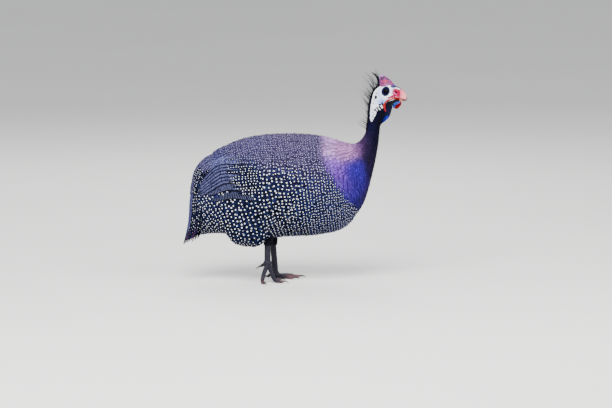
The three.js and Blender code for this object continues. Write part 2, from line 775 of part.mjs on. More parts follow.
// The body is parted at the neck's foot and under the jaw by thin cuts.
const NECK_CUT = { x: 200, z: 289, degrees: 66 };
const HEAD_CUT = { x: 222, z: 337, degrees: 62 };
const cutBody = turned(wholeBody).subtract(slab(HEAD_CUT)).subtract(slab(NECK_CUT));
const [torsoPiece, ...upperPieces] = cutBody.decompose().sort((a, b) => b.volume() - a.volume());
const [neckPiece, headPiece] = upperPieces.sort(
  (a, b) => a.boundingBox().min[2] - b.boundingBox().min[2],
);

let torso = torsoPiece;
for (const leg of Object.values(LEGS)) {
  torso = torso.subtract(thigh(leg, GAP)).subtract(shankSolid(leg, GAP));
}
nodes.set("torso", largest(torso));
nodes.set("thigh_right", largest(thighs.right));
nodes.set("thigh_left", largest(thighs.left));

// The face loses what the bill takes, the eyes, the ears, the nostrils and the mouth's line.
const billBlock = new THREE.BoxGeometry(60, 60, 60);
billBlock.translate(FACE_END_X + 30, 0, 385);
const mouthCut = new THREE.BoxGeometry(MOUTH.long, 40, 0.8);
mouthCut.translate(-MOUTH.long / 2, 0, 0);
const tongueBlock = new THREE.BoxGeometry(MOUTH.long + 2, 15, 6);
tongueBlock.translate(-MOUTH.long / 2, 0, 0);
for (const geometry of [mouthCut, tongueBlock]) {
  geometry.rotateY(THREE.MathUtils.degToRad(MOUTH.fall));
  geometry.translate(MOUTH.x, 0, MOUTH.z);
}
let head = headPiece;
const faceCuts = [solidOf(billBlock), solidOf(mouthCut).subtract(solidOf(tongueBlock))];
const faceAdds = [];
for (const side of [-1, 1]) {
  faceAdds.push(lid(side));
  faceCuts.push(ball(at(EYE.x, side * EYE.side, EYE.z), [1, 1, 1].map(() => EYE.radius + GAP), 16, 10));
  faceCuts.push(ball(at(EAR.x, side * EAR.side, EAR.z), [EAR.radius, 3.2, EAR.radius], 10, 6));
  const nostril = ball(at(0, 0, 0), [NOSTRIL.long, 2.6, NOSTRIL.high], 10, 6);
  faceCuts.push(nostril.rotate([0, 25, 0]).translate([NOSTRIL.x, side * NOSTRIL.side, NOSTRIL.z]));
  // The cere swells round each nostril.
  faceAdds.push(ball(at(NOSTRIL.x - 1, side * 5, NOSTRIL.z - 2), [7.8, 4, 7.6], 12, 8));
}
head = joined([head, ...faceAdds.map(turned)]);
for (const cut of faceCuts) head = head.subtract(turned(cut));
nodes.set("head", largest(head));
nodes.set("neck", neckPiece);
nodes.set("crest", turned(crestSolid()));

for (const [name, side] of [["right", -1], ["left", 1]]) {
  const eye = ball(at(EYE.x, side * EYE.side, EYE.z), [1, 1, 1].map(() => EYE.radius), 16, 10);
  nodes.set("eye_" + name, turned(eye));
  const flap = turned(wattle(WATTLES[name]));
  nodes.set("wattle_" + name, largest(flap.subtract(turned(grownBody))));
}
nodes.set("casque", largest(turned(casqueSolid()).subtract(turned(grownBody))));
nodes.set("bill_upper", turned(billHalf(UPPER_BILL, true)));
nodes.set("bill_lower", turned(billHalf(LOWER_BILL, false)));
nodes.set("wing_right", wingSolid(-1));
nodes.set("wing_left", wingSolid(1));
nodes.set("tail", tailSolid());

// Finishes
const FINISH = {
  plumage: { color: 0x2b2c3a, roughness: 0.75 },
  mauve: { color: 0x3a3468, roughness: 0.8 },
  skin: { color: 0xdfe6f5, roughness: 0.6 },
  horn: { color: 0xb76b86, roughness: 0.5 },
  bill: { color: 0xd9a9a8, roughness: 0.4 },
  wattle: { color: 0xc2203a, roughness: 0.5 },
  eye: { color: 0x1a0f0c, roughness: 0.08 },
  leg: { color: 0x2a2733, roughness: 0.55 },
  claw: { color: 0x2e2622, roughness: 0.4 },
};
const FINISH_OF = [
  [/^torso|^wing|^tail|^thigh/, "plumage"],
  [/^neck/, "mauve"],
  [/^crest/, "plumage"],
  [/^head/, "skin"],
  [/^casque/, "horn"],
  [/^bill/, "bill"],
  [/^wattle/, "wattle"],
  [/^eye/, "eye"],
  [/^shank|^foot/, "leg"],
  [/^claw/, "claw"],
];

const bird = new THREE.Group();
for (const [name, solid] of nodes) {
  const finish = FINISH[FINISH_OF.find(([pattern]) => pattern.test(name))[1]];
  const material = new THREE.MeshStandardMaterial({ metalness: 0, ...finish });
  const mesh = new THREE.Mesh(geometryOf(solid), material);
  mesh.name = name;
  bird.add(mesh);
}

// The origin is on the floor under the middle of the bird.
const box = new THREE.Box3().setFromObject(bird);
const middle = box.getCenter(new THREE.Vector3());
bird.position.set(-middle.x, -middle.y, -box.min.z);

export default bird;
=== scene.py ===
# Looks of a life-size helmeted guinea fowl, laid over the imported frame.
# Numbers in the tables are millimetres from the model's drawing, +X is the way the body faces.
import math
import bmesh
import bpy
import numpy as np
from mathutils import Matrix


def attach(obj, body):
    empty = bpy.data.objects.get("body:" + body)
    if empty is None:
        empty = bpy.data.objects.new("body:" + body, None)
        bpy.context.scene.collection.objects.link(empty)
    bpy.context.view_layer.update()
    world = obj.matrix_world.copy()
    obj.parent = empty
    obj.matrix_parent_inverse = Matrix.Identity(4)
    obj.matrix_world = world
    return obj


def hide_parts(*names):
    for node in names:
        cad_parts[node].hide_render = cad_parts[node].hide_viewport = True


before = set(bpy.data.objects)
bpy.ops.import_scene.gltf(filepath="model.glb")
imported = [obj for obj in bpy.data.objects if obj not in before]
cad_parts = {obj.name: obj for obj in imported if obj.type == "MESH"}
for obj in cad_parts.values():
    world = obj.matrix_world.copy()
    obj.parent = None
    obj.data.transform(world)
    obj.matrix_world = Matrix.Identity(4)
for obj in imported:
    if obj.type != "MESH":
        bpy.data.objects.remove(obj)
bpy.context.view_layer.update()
scene = bpy.context.scene
random = np.random.default_rng(11)
print("frame loaded:", len(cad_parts), "nodes")

drawingShift = 40.26  # the drawing's x less the frame's x
headTurn = {"angle": math.radians(24), "axisX": 208.0, "tilt": 0.05, "fromZ": 300.0, "toZ": 352.0}

# Back point, belly point, half width and narrowing of each section, from the rump to the bill.
bodySections = [
    (-163, 101, -155, 93, 7, 0), (-166, 124, -146, 92.5, 17, 0), (-165, 152, -130, 95, 29, 0.02),
    (-161, 182, -111, 95.5, 42, 0.04), (-154, 207, -90, 93.5, 54, 0.06), (-141, 231, -66, 91, 63, 0.08),
    (-122, 259, -42, 89, 70, 0.1), (-96, 273, -18, 87, 75, 0.12), (-66, 285, 2, 87, 78, 0.12),
    (-30, 292.5, 24, 89, 79, 0.12), (10, 295.5, 48, 90, 78, 0.12), (45, 295.5, 74, 91, 75, 0.12),
    (75, 293.5, 98, 94.5, 70, 0.11), (100, 289.5, 121, 99, 63, 0.1), (121, 283.8, 139, 107, 54, 0.09),
    (137, 279, 153, 119, 45, 0.08), (149, 276, 165, 136.5, 37, 0.07), (158, 275.5, 176.5, 155.5, 30.5, 0.06),
    (166, 278.5, 186, 182, 25, 0.04), (172.5, 284, 194, 212, 21, 0.03),
    (177.5, 290.5, 201.5, 246, 17.5, 0.02),
    (181, 298, 206.5, 277, 14.8, 0), (183.2, 305.5, 208.8, 300, 13, 0), (185.4, 314, 210.5, 312, 12.2, 0),
    (186.5, 322, 215.6, 317.5, 12, 0), (186.5, 332, 223.2, 322.5, 12.1, 0), (186.5, 345, 229.9, 331, 12.4, 0),
    (188.8, 359.5, 234, 342, 12.8, 0), (192.7, 372.5, 238.3, 351, 13.2, 0.02),
    (199.2, 384, 243.3, 356.5, 13.5, 0.04),
    (209.1, 391.5, 249.2, 359, 13.5, 0.05), (222.2, 395.3, 255.2, 360.2, 12.7, 0.05),
    (235.9, 393.5, 260.5, 360.8, 11.2, 0.02), (246.9, 389, 264.4, 361.4, 9.4, 0),
    (255.1, 384.5, 267.7, 362, 7.8, 0),
    (261.1, 380, 270.4, 363, 6.2, 0),
]


# Small tools

def ease(x, low, high):
    t = np.clip((np.asarray(x, float) - low) / (high - low), 0, 1)
    return t * t * (3 - 2 * t)


def unit(v):
    return v / np.maximum(np.linalg.norm(v, axis=-1, keepdims=True), 1e-9)


def dot(a, b):
    return np.sum(a * b, axis=-1)


def smoothLine(points, t):
    # The same centripetal curve that the solids are drawn with.
    p = np.asarray(points, float)
    p = np.vstack([2 * p[0] - p[1], p, 2 * p[-1] - p[-2]])
    place = np.clip(np.asarray(t, float), 0, 1) * (len(points) - 1)
    cell = np.minimum(place.astype(int), len(points) - 2)
    w = (place - cell)[..., None]
    a, b, c, d = (p[cell + i] for i in range(4))
    pairs = ((a, b), (b, c), (c, d))
    gap = [np.maximum(np.linalg.norm(q - o, axis=-1, keepdims=True), 1e-6) ** 0.5 for o, q in pairs]
    m1 = ((b - a) / gap[0] - (c - a) / (gap[0] + gap[1]) + (c - b) / gap[1]) * gap[1]
    m2 = ((c - b) / gap[1] - (d - b) / (gap[1] + gap[2]) + (d - c) / gap[2]) * gap[1]
    return b + m1 * w + (-3 * b + 3 * c - 2 * m1 - m2) * w ** 2 + (2 * b - 2 * c + m1 + m2) * w ** 3


def turnHead(p):
    p = np.array(p, float)
    share = ease(p[..., 2], headTurn["fromZ"], headTurn["toZ"])
    angle = headTurn["angle"] * share
    forward, left = p[..., 0] - headTurn["axisX"], p[..., 1].copy()
    p[..., 2] += headTurn["tilt"] * forward * share
    p[..., 0] = headTurn["axisX"] + forward * np.cos(angle) + left * np.sin(angle)
    p[..., 1] = left * np.cos(angle) - forward * np.sin(angle)
    return p


def toFrame(p):
    # From the drawing's millimetres to the frame's metres.
    return (np.asarray(p, float) - [drawingShift, 0, 0]) / 1000


def shade(text):
    # A colour as seen on screen, such as d9a9a8, as the shader's own numbers.
    parts = [int(text[i:i + 2], 16) / 255 for i in (0, 2, 4)]
    return np.array([c / 12.92 if c <= 0.04045 else ((c + 0.055) / 1.055) ** 2.4 for c in parts])


def rgba(text):
    return (*shade(text), 1)


def makeObject(name, points, faces, metres=False):
    # points in drawing millimetres unless metres is set; faces is one array, or several of mixed size.
    points = np.asarray(points, float) if metres else toFrame(points)
    groups = faces if isinstance(faces, list) else [faces]
    mesh = bpy.data.meshes.new(name)
    corners = np.concatenate([g.ravel() for g in groups])
    sizes = np.concatenate([np.full(len(g), g.shape[1]) for g in groups])
    mesh.vertices.add(len(points))
    mesh.vertices.foreach_set("co", points.astype(np.float32).ravel())
    mesh.loops.add(len(corners))
    mesh.loops.foreach_set("vertex_index", corners.astype(np.int32))
    mesh.polygons.add(len(sizes))
    mesh.polygons.foreach_set("loop_start", np.concatenate([[0], np.cumsum(sizes)[:-1]]).astype(np.int32))
    mesh.update(calc_edges=True)
    mesh.validate()
    mesh.polygons.foreach_set("use_smooth", np.ones(len(mesh.polygons), bool))
    made = bpy.data.objects.new(name, mesh)
    scene.collection.objects.link(made)
    return made


def giveUv(made, name, perPoint):
    corners = np.empty(len(made.data.loops), np.int32)
    made.data.loops.foreach_get("vertex_index", corners)
    layer = made.data.uv_layers.new(name=name)
    layer.data.foreach_set("uv", np.asarray(perPoint, np.float32)[corners].ravel())


def giveVector(made, name, perPoint):
    layer = made.data.attributes.new(name, "FLOAT_VECTOR", "POINT")
    layer.data.foreach_set("vector", np.asarray(perPoint, np.float32).ravel())


def giveColour(made, name, perPoint):
    full = np.concatenate([perPoint, np.ones((len(perPoint), 1))], axis=1)
    layer = made.data.attributes.new(name, "FLOAT_COLOR", "POINT")
    layer.data.foreach_set("color", full.astype(np.float32).ravel())


def gridFaces(rows, columns, closed):
    # Quads of a grid of points, row by row; closed joins the last column to the first.
    i, j = np.meshgrid(np.arange(rows - 1), np.arange(columns if closed else columns - 1), indexing="ij")
    k = (j + 1) % columns
    a = i * columns
    return np.stack([a + j, a + k, a + columns + k, a + columns + j], -1).reshape(-1, 4)


def tubeMesh(path, radii, sides, steps, up=(0, 0, 1), relief=None):
    # A closed tube along a smooth path; radii(s) gives across and upright, relief(s, a) adds to them.
    s = np.linspace(0, 1, steps + 1)
    centre = smoothLine(path, s)
    along = unit(np.gradient(centre, axis=0))
    across = unit(np.cross(along, up))
    high = unit(np.cross(across, along))
    a = np.linspace(0, 2 * math.pi, sides, endpoint=False)
    ra, rh = (np.broadcast_to(np.asarray(r, float), s.shape) for r in radii(s))
    extra = relief(s[:, None], a[None, :]) if relief else 0
    ring = centre[:, None] + across[:, None] * ((ra[:, None] + extra) * np.cos(a))[..., None]
    ring = ring + high[:, None] * ((rh[:, None] + extra) * np.sin(a))[..., None]
    points = np.concatenate([ring.reshape(-1, 3), centre[:1], centre[-1:]])
    first, last = np.full(sides, len(points) - 2), np.full(sides, len(points) - 1)
    j = np.arange(sides)
    k = (j + 1) % sides
    end = steps * sides
    caps = np.concatenate([np.stack([first, k, j], -1), np.stack([last, end + j, end + k], -1)])
    return points, [gridFaces(steps + 1, sides, True), caps]


def loftMesh(rings):
    # A closed mesh through rings of equally many points.
    rings = np.asarray(rings)
    r, c = rings.shape[:2]
    points = np.concatenate([rings.reshape(-1, 3), rings[0].mean(0)[None], rings[-1].mean(0)[None]])
    j = np.arange(c)
    k = (j + 1) % c
    first, last = np.full(c, r * c), np.full(c, r * c + 1)
    caps = np.concatenate([np.stack([first, k, j], -1),
                           np.stack([last, (r - 1) * c + j, (r - 1) * c + k], -1)])
    return points, [gridFaces(r, c, True), caps]


def mergeMeshes(parts):
    # Joins (points, face groups) pairs into one.
    points, groups, base = [], [], 0
    for p, g in parts:
        points.append(p)
        groups += [f + base for f in g]
        base += len(p)
    return np.concatenate(points), groups


def outward(made):
    # Turns every face outwards.
    work = bmesh.new()
    work.from_mesh(made.data)
    bmesh.ops.recalc_face_normals(work, faces=work.faces)
    work.to_mesh(made.data)
    work.free()
    return made


def finishModifiers(made):
    # Swaps the object's mesh for the evaluated one and removes its modifiers.
    graph = bpy.context.evaluated_depsgraph_get()
    plain = bpy.data.meshes.new_from_object(made.evaluated_get(graph))
    made.modifiers.clear()
    made.data = plain
    return made


def dress(made, material, slotName, *nodes):
    made.data.materials.clear()
    made.data.materials.append(material)
    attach(made, "root")
    if nodes:
        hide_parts(*nodes)
    return made


# Nodes of the shaders

def addNode(tree, kind, inputs=None, **settings):
    # An input takes a link where its value is another node's socket, and a number or colour otherwise.
    made = tree.nodes.new(kind)
    for key, value in settings.items():
        setattr(made, key, value)
    for key, value in (inputs or {}).items():
        if isinstance(value, bpy.types.NodeSocket):
            tree.links.new(value, made.inputs[key])
        else:
            made.inputs[key].default_value = value
    return made


def mathOf(tree, operation, *values):
    return addNode(tree, "ShaderNodeMath", dict(enumerate(values)), operation=operation).outputs[0]


def softStep(tree, value, low, high, top=1.0, bottom=0.0):
    limits = {"Value": value, "From Min": low, "From Max": high, "To Min": bottom, "To Max": top}
    return addNode(tree, "ShaderNodeMapRange", limits, interpolation_type="SMOOTHSTEP").outputs["Result"]


def mixOf(tree, share, a, b, blend="MIX"):
    return addNode(tree, "ShaderNodeMix", {0: share, 6: a, 7: b}, data_type="RGBA",
                   blend_type=blend).outputs[2]


def readColour(tree, name):
    return addNode(tree, "ShaderNodeAttribute", attribute_name=name).outputs["Color"]


def readVector(tree, name):
    return addNode(tree, "ShaderNodeAttribute", attribute_name=name).outputs["Vector"]


def splitVector(tree, vector):
    return addNode(tree, "ShaderNodeSeparateXYZ", {0: vector}).outputs


def objectPlace(tree):
    return addNode(tree, "ShaderNodeTexCoord").outputs["Object"]


def giveBump(tree, shader, height, strength, distance):
    bump = addNode(tree, "ShaderNodeBump", {"Height": height, "Strength": strength, "Distance": distance})
    tree.links.new(bump.outputs[0], shader.inputs["Normal"])


def newMaterial(name, **surface):
    # surface holds the values that are the same all over, by the shader's own names.
    material = bpy.data.materials.new(name)
    material.use_nodes = True
    tree = material.node_tree
    shader = tree.nodes["Principled BSDF"]
    for key, value in surface.items():
        shader.inputs[key.replace("_", " ")].default_value = value
    return material, tree, shader


def newGroup(name, inputs, outputs):
    group = bpy.data.node_groups.new(name, "ShaderNodeTree")
    for label, kind in inputs:
        group.interface.new_socket(name=label, in_out="INPUT", socket_type=kind)
    for label, kind in outputs:
        group.interface.new_socket(name=label, in_out="OUTPUT", socket_type=kind)
    return group, group.nodes.new("NodeGroupInput"), group.nodes.new("NodeGroupOutput")


def useGroup(tree, group, inputs):
    return addNode(tree, "ShaderNodeGroup", inputs, node_tree=group).outputs


# Round spots in rows, each with its ring, from a vector counted in spots.
spotGroup, spotIn, spotOut = newGroup(
    "spotRows",
    [("Vector", "NodeSocketVector"), ("Radius", "NodeSocketFloat")],
    [("Spot", "NodeSocketFloat"), ("Ring", "NodeSocketFloat")],
)
cells = addNode(spotGroup, "ShaderNodeTexVoronoi",
                {"Vector": spotIn.outputs[0], "Scale": 1.0, "Randomness": 0.36},
                voronoi_dimensions="2D", feature="F1")
spotEdge = mathOf(spotGroup, "SUBTRACT", cells.outputs["Distance"], spotIn.outputs[1])
spotGroup.links.new(softStep(spotGroup, spotEdge, 0.035, -0.04), spotOut.inputs[0])
spotGroup.links.new(softStep(spotGroup, spotEdge, 0.24, 0.08), spotOut.inputs[1])

# Fine barbs that run off both sides of a quill, from millimetres across and along.
barbGroup, barbIn, barbOut = newGroup("quillBarbs", [("Vane", "NodeSocketVector")],
                                      [("Barb", "NodeSocketFloat"), ("Quill", "NodeSocketFloat")])
vaneParts = splitVector(barbGroup, barbIn.outputs[0])
across = mathOf(barbGroup, "ABSOLUTE", vaneParts[0])
slant = mathOf(barbGroup, "SUBTRACT", vaneParts[1], mathOf(barbGroup, "MULTIPLY", across, 0.85))
wobble = addNode(barbGroup, "ShaderNodeTexNoise", {"Vector": barbIn.outputs[0], "Scale": 0.5, "Detail": 2.0})
slant = mathOf(barbGroup, "ADD", slant, wobble.outputs[0])
barbWave = mathOf(barbGroup, "SINE", mathOf(barbGroup, "MULTIPLY", slant, 7.5))
barbGroup.links.new(softStep(barbGroup, barbWave, -1.0, 1.0), barbOut.inputs[0])
barbGroup.links.new(softStep(barbGroup, across, 0.45, 0.2), barbOut.inputs[1])


# The body's surface as a chart of section number k and angle a.
# The angle is 0 on the bird's left and a quarter turn on its back.

thighLobes = {"x": -52, "side": 41, "z": 128, "radii": (51, 27, 58)}
wingSwell = {"k": 11, "a": 24, "overK": 7, "overA": 44, "rise": 3.6}
chart = {"columns": 288, "bodyStep": 0.12, "neck": 23, "headStep": 0.05}

sectionTable = np.array(bodySections, float)
lastSection = len(bodySections) - 1
chartEnds = (0.02, 34.9)  # feathers keep between these sections


def bodyPoint(k, a, grow=0.0):
    t = np.asarray(k, float) / lastSection
    back, belly = smoothLine(sectionTable[:, 0:2], t), smoothLine(sectionTable[:, 2:4], t)
    width = smoothLine(sectionTable[:, 4:6], t)
    # The solids' curves run in three dimensions with one flat, which gives the same points.
    centre, upright = (back + belly) / 2, (back - belly) / 2
    high = np.linalg.norm(upright, axis=-1)
    up, out = np.sin(a), np.cos(a) * (1 - width[..., 1] * np.sin(a))
    side = centre + upright * (up * (1 + grow / high))[..., None]
    return np.stack([side[..., 0], (width[..., 0] + grow) * out, side[..., 1]], -1)


def normalsOf(grid):
    # Outward normals of a grid whose columns close on themselves.
    down = np.gradient(grid, axis=0)
    around = (np.roll(grid, -1, axis=1) - np.roll(grid, 1, axis=1)) / 2
    return unit(np.cross(around, down))


def lobeReach(p, n):
    # How far the thighs stand out beyond the body along n.
    found = np.zeros(p.shape[:-1])
    for side in (-1, 1):
        centre = np.array([thighLobes["x"], side * thighLobes["side"], thighLobes["z"]])
        q, m = (p - centre) / thighLobes["radii"], n / np.array(thighLobes["radii"])
        qm, mm = dot(q, m), dot(m, m)
        inside = qm ** 2 - mm * (dot(q, q) - 1)
        h = np.where(inside > 0, (-qm + np.sqrt(np.maximum(inside, 0))) / mm, -60)
        found = np.maximum(found, 0.5 * (h + np.sqrt(h * h + 30)))
    return np.minimum(found, 24)


chartK = np.unique(np.concatenate([np.arange(0, chart["neck"], chart["bodyStep"]),
                                   np.arange(chart["neck"], lastSection + 0.001, chart["headStep"])]))
chartA = np.linspace(-math.pi / 2, 1.5 * math.pi, chart["columns"], endpoint=False)
gridK, gridA = np.meshgrid(chartK, chartA, indexing="ij")
bareGrid = bodyPoint(gridK, gridA)
swellNormal = normalsOf(bareGrid)
facing = np.where(np.cos(gridA) >= 0, gridA, math.pi - gridA)  # the same angle on both sides
swellOut = np.hypot((gridK - wingSwell["k"]) / wingSwell["overK"],
                    (np.degrees(facing) - wingSwell["a"]) / wingSwell["overA"])
swell = wingSwell["rise"] * np.maximum(0, 1 - swellOut ** 3) ** 0.7
swell = swell + lobeReach(bareGrid, swellNormal) * ease(gridK, 0.5, 2) * ease(gridK, 17, 15)
outerGrid = bareGrid + swellNormal * swell[..., None]
outerNormal = normalsOf(outerGrid)
print("body chart:", outerGrid.shape)


def chartLook(field, k, a):
    # Reads a field of the chart between its points.
    row = np.interp(k, chartK, np.arange(len(chartK)))
    column = ((np.asarray(a, float) + math.pi / 2) / (2 * math.pi) * chart["columns"]) % chart["columns"]
    r0 = np.minimum(row.astype(int), len(chartK) - 2)
    c0 = column.astype(int) % chart["columns"]
    c1 = (c0 + 1) % chart["columns"]
    fr, fc = (row - r0)[..., None], (column - np.floor(column))[..., None]
    return ((field[r0, c0] * (1 - fc) + field[r0, c1] * fc) * (1 - fr)
            + (field[r0 + 1, c0] * (1 - fc) + field[r0 + 1, c1] * fc) * fr)


alongK = np.gradient(outerGrid, axis=0) / np.gradient(chartK)[:, None, None]
alongA = (np.roll(outerGrid, -1, axis=1) - np.roll(outerGrid, 1, axis=1)) / (4 * math.pi / chart["columns"])


def unwrapPlace(k, a):
    # A place on the unwrap of the body's chart, with a thin margin round it.
    return np.stack([((a + math.pi / 2) / (2 * math.pi)) % 1, k / lastSection], -1) * 0.98 + 0.01


def chartSteps(k, a, way):
    # The chart step for one millimetre along a direction.
    jk, ja = chartLook(alongK, k, a), chartLook(alongA, k, a)
    kk, ka, aa = dot(jk, jk), dot(jk, ja), dot(ja, ja)
    rk, ra = dot(jk, way), dot(ja, way)
    det = np.maximum(kk * aa - ka * ka, 1e-6)
    return (rk * aa - ra * ka) / det, (ra * kk - rk * ka) / det


# Colours of the plumage, by places on the side of the body (the drawing's x and z).
plumageTints = [
    ("slate", -120, 120, "05060f"), ("flankInk", -30, 150, "04050f"), ("bellyInk", 60, 110, "04060e"),
    ("rumpLavender", -130, 248, "24285c"), ("backLavender", -40, 295, "302a54"),
    ("backRose", 60, 295, "3e3052"),
    ("sideGrey", -60, 225, "060714"), ("midSide", 40, 218, "060614"), ("shoulderGrey", 75, 258, "231c3c"),
    ("breastInk", 120, 145, "061030"), ("hind", -165, 150, "10122a"),
]
plainTints = [
    ("mauvePink", 112, 282, "a880bc"), ("mauveRose", 148, 274, "ae7ab4"), ("mauveNeck", 165, 290, "6e4a86"),
    ("violet", 124, 232, "6d42a6"), ("violetMid", 138, 205, "55339e"), ("violetLow", 146, 180, "35248a"),
    ("blueViolet", 163, 232, "2c1a84"), ("blueMid", 168, 200, "2b1a78"), ("blueLow", 168, 170, "1b1450"),
    ("brownFront", 188, 190, "261632"), ("neckFront", 196, 235, "1a1028"),
    ("neckBack", 180, 300, "0a0822"), ("neckMid", 190, 285, "07051a"), ("neckLow", 190, 265, "150c26"),
    ("neckInk", 200, 300, "030207"), ("napeIndigo", 186, 308, "0d0936"), ("napeInk", 190, 335, "05051c"),
    ("throatInk", 215, 315, "030309"),
]
plainEdge = np.array([(108, 300), (106, 264), (110, 247), (127, 212), (143, 184), (157, 166), (178, 153),
                      (200, 140)], float)


def blendTints(table, x, z, reach):
    weights, total = 0, 0
    for _, cx, cz, tint in table:
        w = np.exp(-((x - cx) ** 2 + (z - cz) ** 2) / (2 * reach ** 2)) + 1e-9
        weights, total = weights + w, total + w[..., None] * shade(tint)
    return total / weights[..., None]


def plainShare(x, z):
    # 0 where the plumage is spotted and 1 on the plain violet breast and neck.
    edge = np.interp(-z, -plainEdge[:, 1], plainEdge[:, 0])
    return ease(x - edge, -12, 12)


def plumageTint(x, z):
    plain = plainShare(x, z)[..., None]
    return blendTints(plumageTints, x, z, 34) * (1 - plain) + blendTints(plainTints, x, z, 12) * plain


# Feathers laid on the chart

vaneRows = np.array([0, 0.28, 0.52, 0.72, 0.87, 0.96, 1.0])
vaneColumns = np.array([-1, -0.55, 0, 0.55, 1])


def vaneOutline(s, rootShare, blunt):
    # Half width of a vane along its length, as a share of its widest.
    return np.maximum(1 - np.abs(2 * (rootShare + (1 - rootShare) * s) - 1) ** blunt, 0.03) ** 0.5


def layVanes(name, k, a, length, half, veer, sink, lift, look, rows=vaneRows, columns=vaneColumns, cup=0.9):
    # All arrays are one value a vane. veer turns it from straight back, in radians; look gives its colours.
    count = len(k)
    k, a = np.array(k, float), np.array(a, float)
    normal = unit(chartLook(outerNormal, k, a))
    back = unit(-chartLook(alongK, k, a))
    back = unit(back - normal * dot(back, normal)[:, None])
    side = np.cross(normal, back)
    way = back * np.cos(veer)[:, None] + side * np.sin(veer)[:, None]
    points = np.zeros((count, len(rows), len(columns), 3))
    flats = np.zeros((count, len(rows), len(columns), 3))
    kk, aa, previous = k.copy(), a.copy(), 0.0
    for i, s in enumerate(rows):
        step = (s - previous) * length
        normal = unit(chartLook(outerNormal, kk, aa))
        way = unit(way - normal * dot(way, normal)[:, None])
        dk, da = chartSteps(kk, aa, way)
        kk, aa, previous = np.clip(kk + dk * step, *chartEnds), aa + da * step, s
        normal = unit(chartLook(outerNormal, kk, aa))
        way = unit(way - normal * dot(way, normal)[:, None])
        aside = np.cross(normal, way)
        bk, ba = chartSteps(kk, aa, aside)
        reach = half * vaneOutline(s, 0.2, 2.6)
        height = -sink + (sink + lift) * s ** 0.8
        for j, w in enumerate(columns):
            ck, ca = np.clip(kk + bk * reach * w, *chartEnds), aa + ba * reach * w
            n = unit(chartLook(outerNormal, ck, ca))
            stand = height - cup * w * w * reach / np.maximum(half, 1e-6)
            points[:, i, j] = chartLook(outerGrid, ck, ca) + n * stand[:, None]
            flats[:, i, j, 0], flats[:, i, j, 1] = reach * w, (1 - s) * length
            points[:, i, j] -= way * (0.10 * length * w * w * s ** 6)[:, None]
        flats[:, i, :, 2] = np.arange(count)[:, None]
    return vaneObject(name, points, flats, np.stack([a, k], -1), look, 0.3, rows, columns)


def vaneObject(name, points, flats, roots, look, thick, rows, columns):
    # Closed thin vanes from their mid faces; roots places their patches on the body's unwrap.
    count, r, c = points.shape[:3]
    upNormal = unit(np.cross(np.gradient(points, axis=1), np.gradient(points, axis=2)))
    local = points.reshape(count, -1, 3)
    top = turnHead(local + upNormal.reshape(count, -1, 3) * thick / 2)
    under = turnHead(local - upNormal.reshape(count, -1, 3) * thick / 2)
    per = r * c
    allPoints = np.concatenate([top, under], axis=1).reshape(-1, 3)
    quads = gridFaces(r, c, False)[:, ::-1]
    down, across = np.arange(r), np.arange(1, c)
    rim = np.concatenate([down * c, (r - 1) * c + across, down[-2::-1] * c + c - 1, across[-2::-1]])
    nxt = np.roll(rim, -1)
    walls = np.stack([rim, rim + per, nxt + per, nxt], -1)
    one = np.concatenate([quads, quads[:, ::-1] + per, walls])
    faces = (one[None] + (np.arange(count) * 2 * per)[:, None, None]).reshape(-1, 4)
    made = makeObject(name, allPoints, faces)
    across, along = np.meshgrid(columns, rows)
    patch = np.stack([across * 0.0015, along * 0.003], -1).reshape(1, per, 2)
    place = unwrapPlace(roots[:, 1], roots[:, 0])
    both = lambda x: np.concatenate([x, x], axis=1).reshape(-1, x.shape[-1])
    shape = np.stack([across * 0.5 + 0.5, along], -1).reshape(1, per, 2)
    giveUv(made, "OFBake", both(place[:, None] + patch))
    giveUv(made, "vaneShape", both(np.broadcast_to(shape, (count, per, 2))))
    giveVector(made, "vane", both(flats.reshape(count, per, 3)))
    tint = np.broadcast_to(look["tint"][:, None], (count, per, 3))
    if "tipTint" in look:
        share = ease(along, 0.8, 0.95).reshape(1, per, 1)
        tint = tint * (1 - share) + look["tipTint"][:, None] * share
    giveColour(made, "tint", both(tint))
    spots = np.array(np.broadcast_to(look["spots"][:, None], (count, per, 3)))
    if "tipTint" in look:
        spots[..., 0] *= 1 - share[..., 0]
    giveVector(made, "spots", both(spots))
    return made


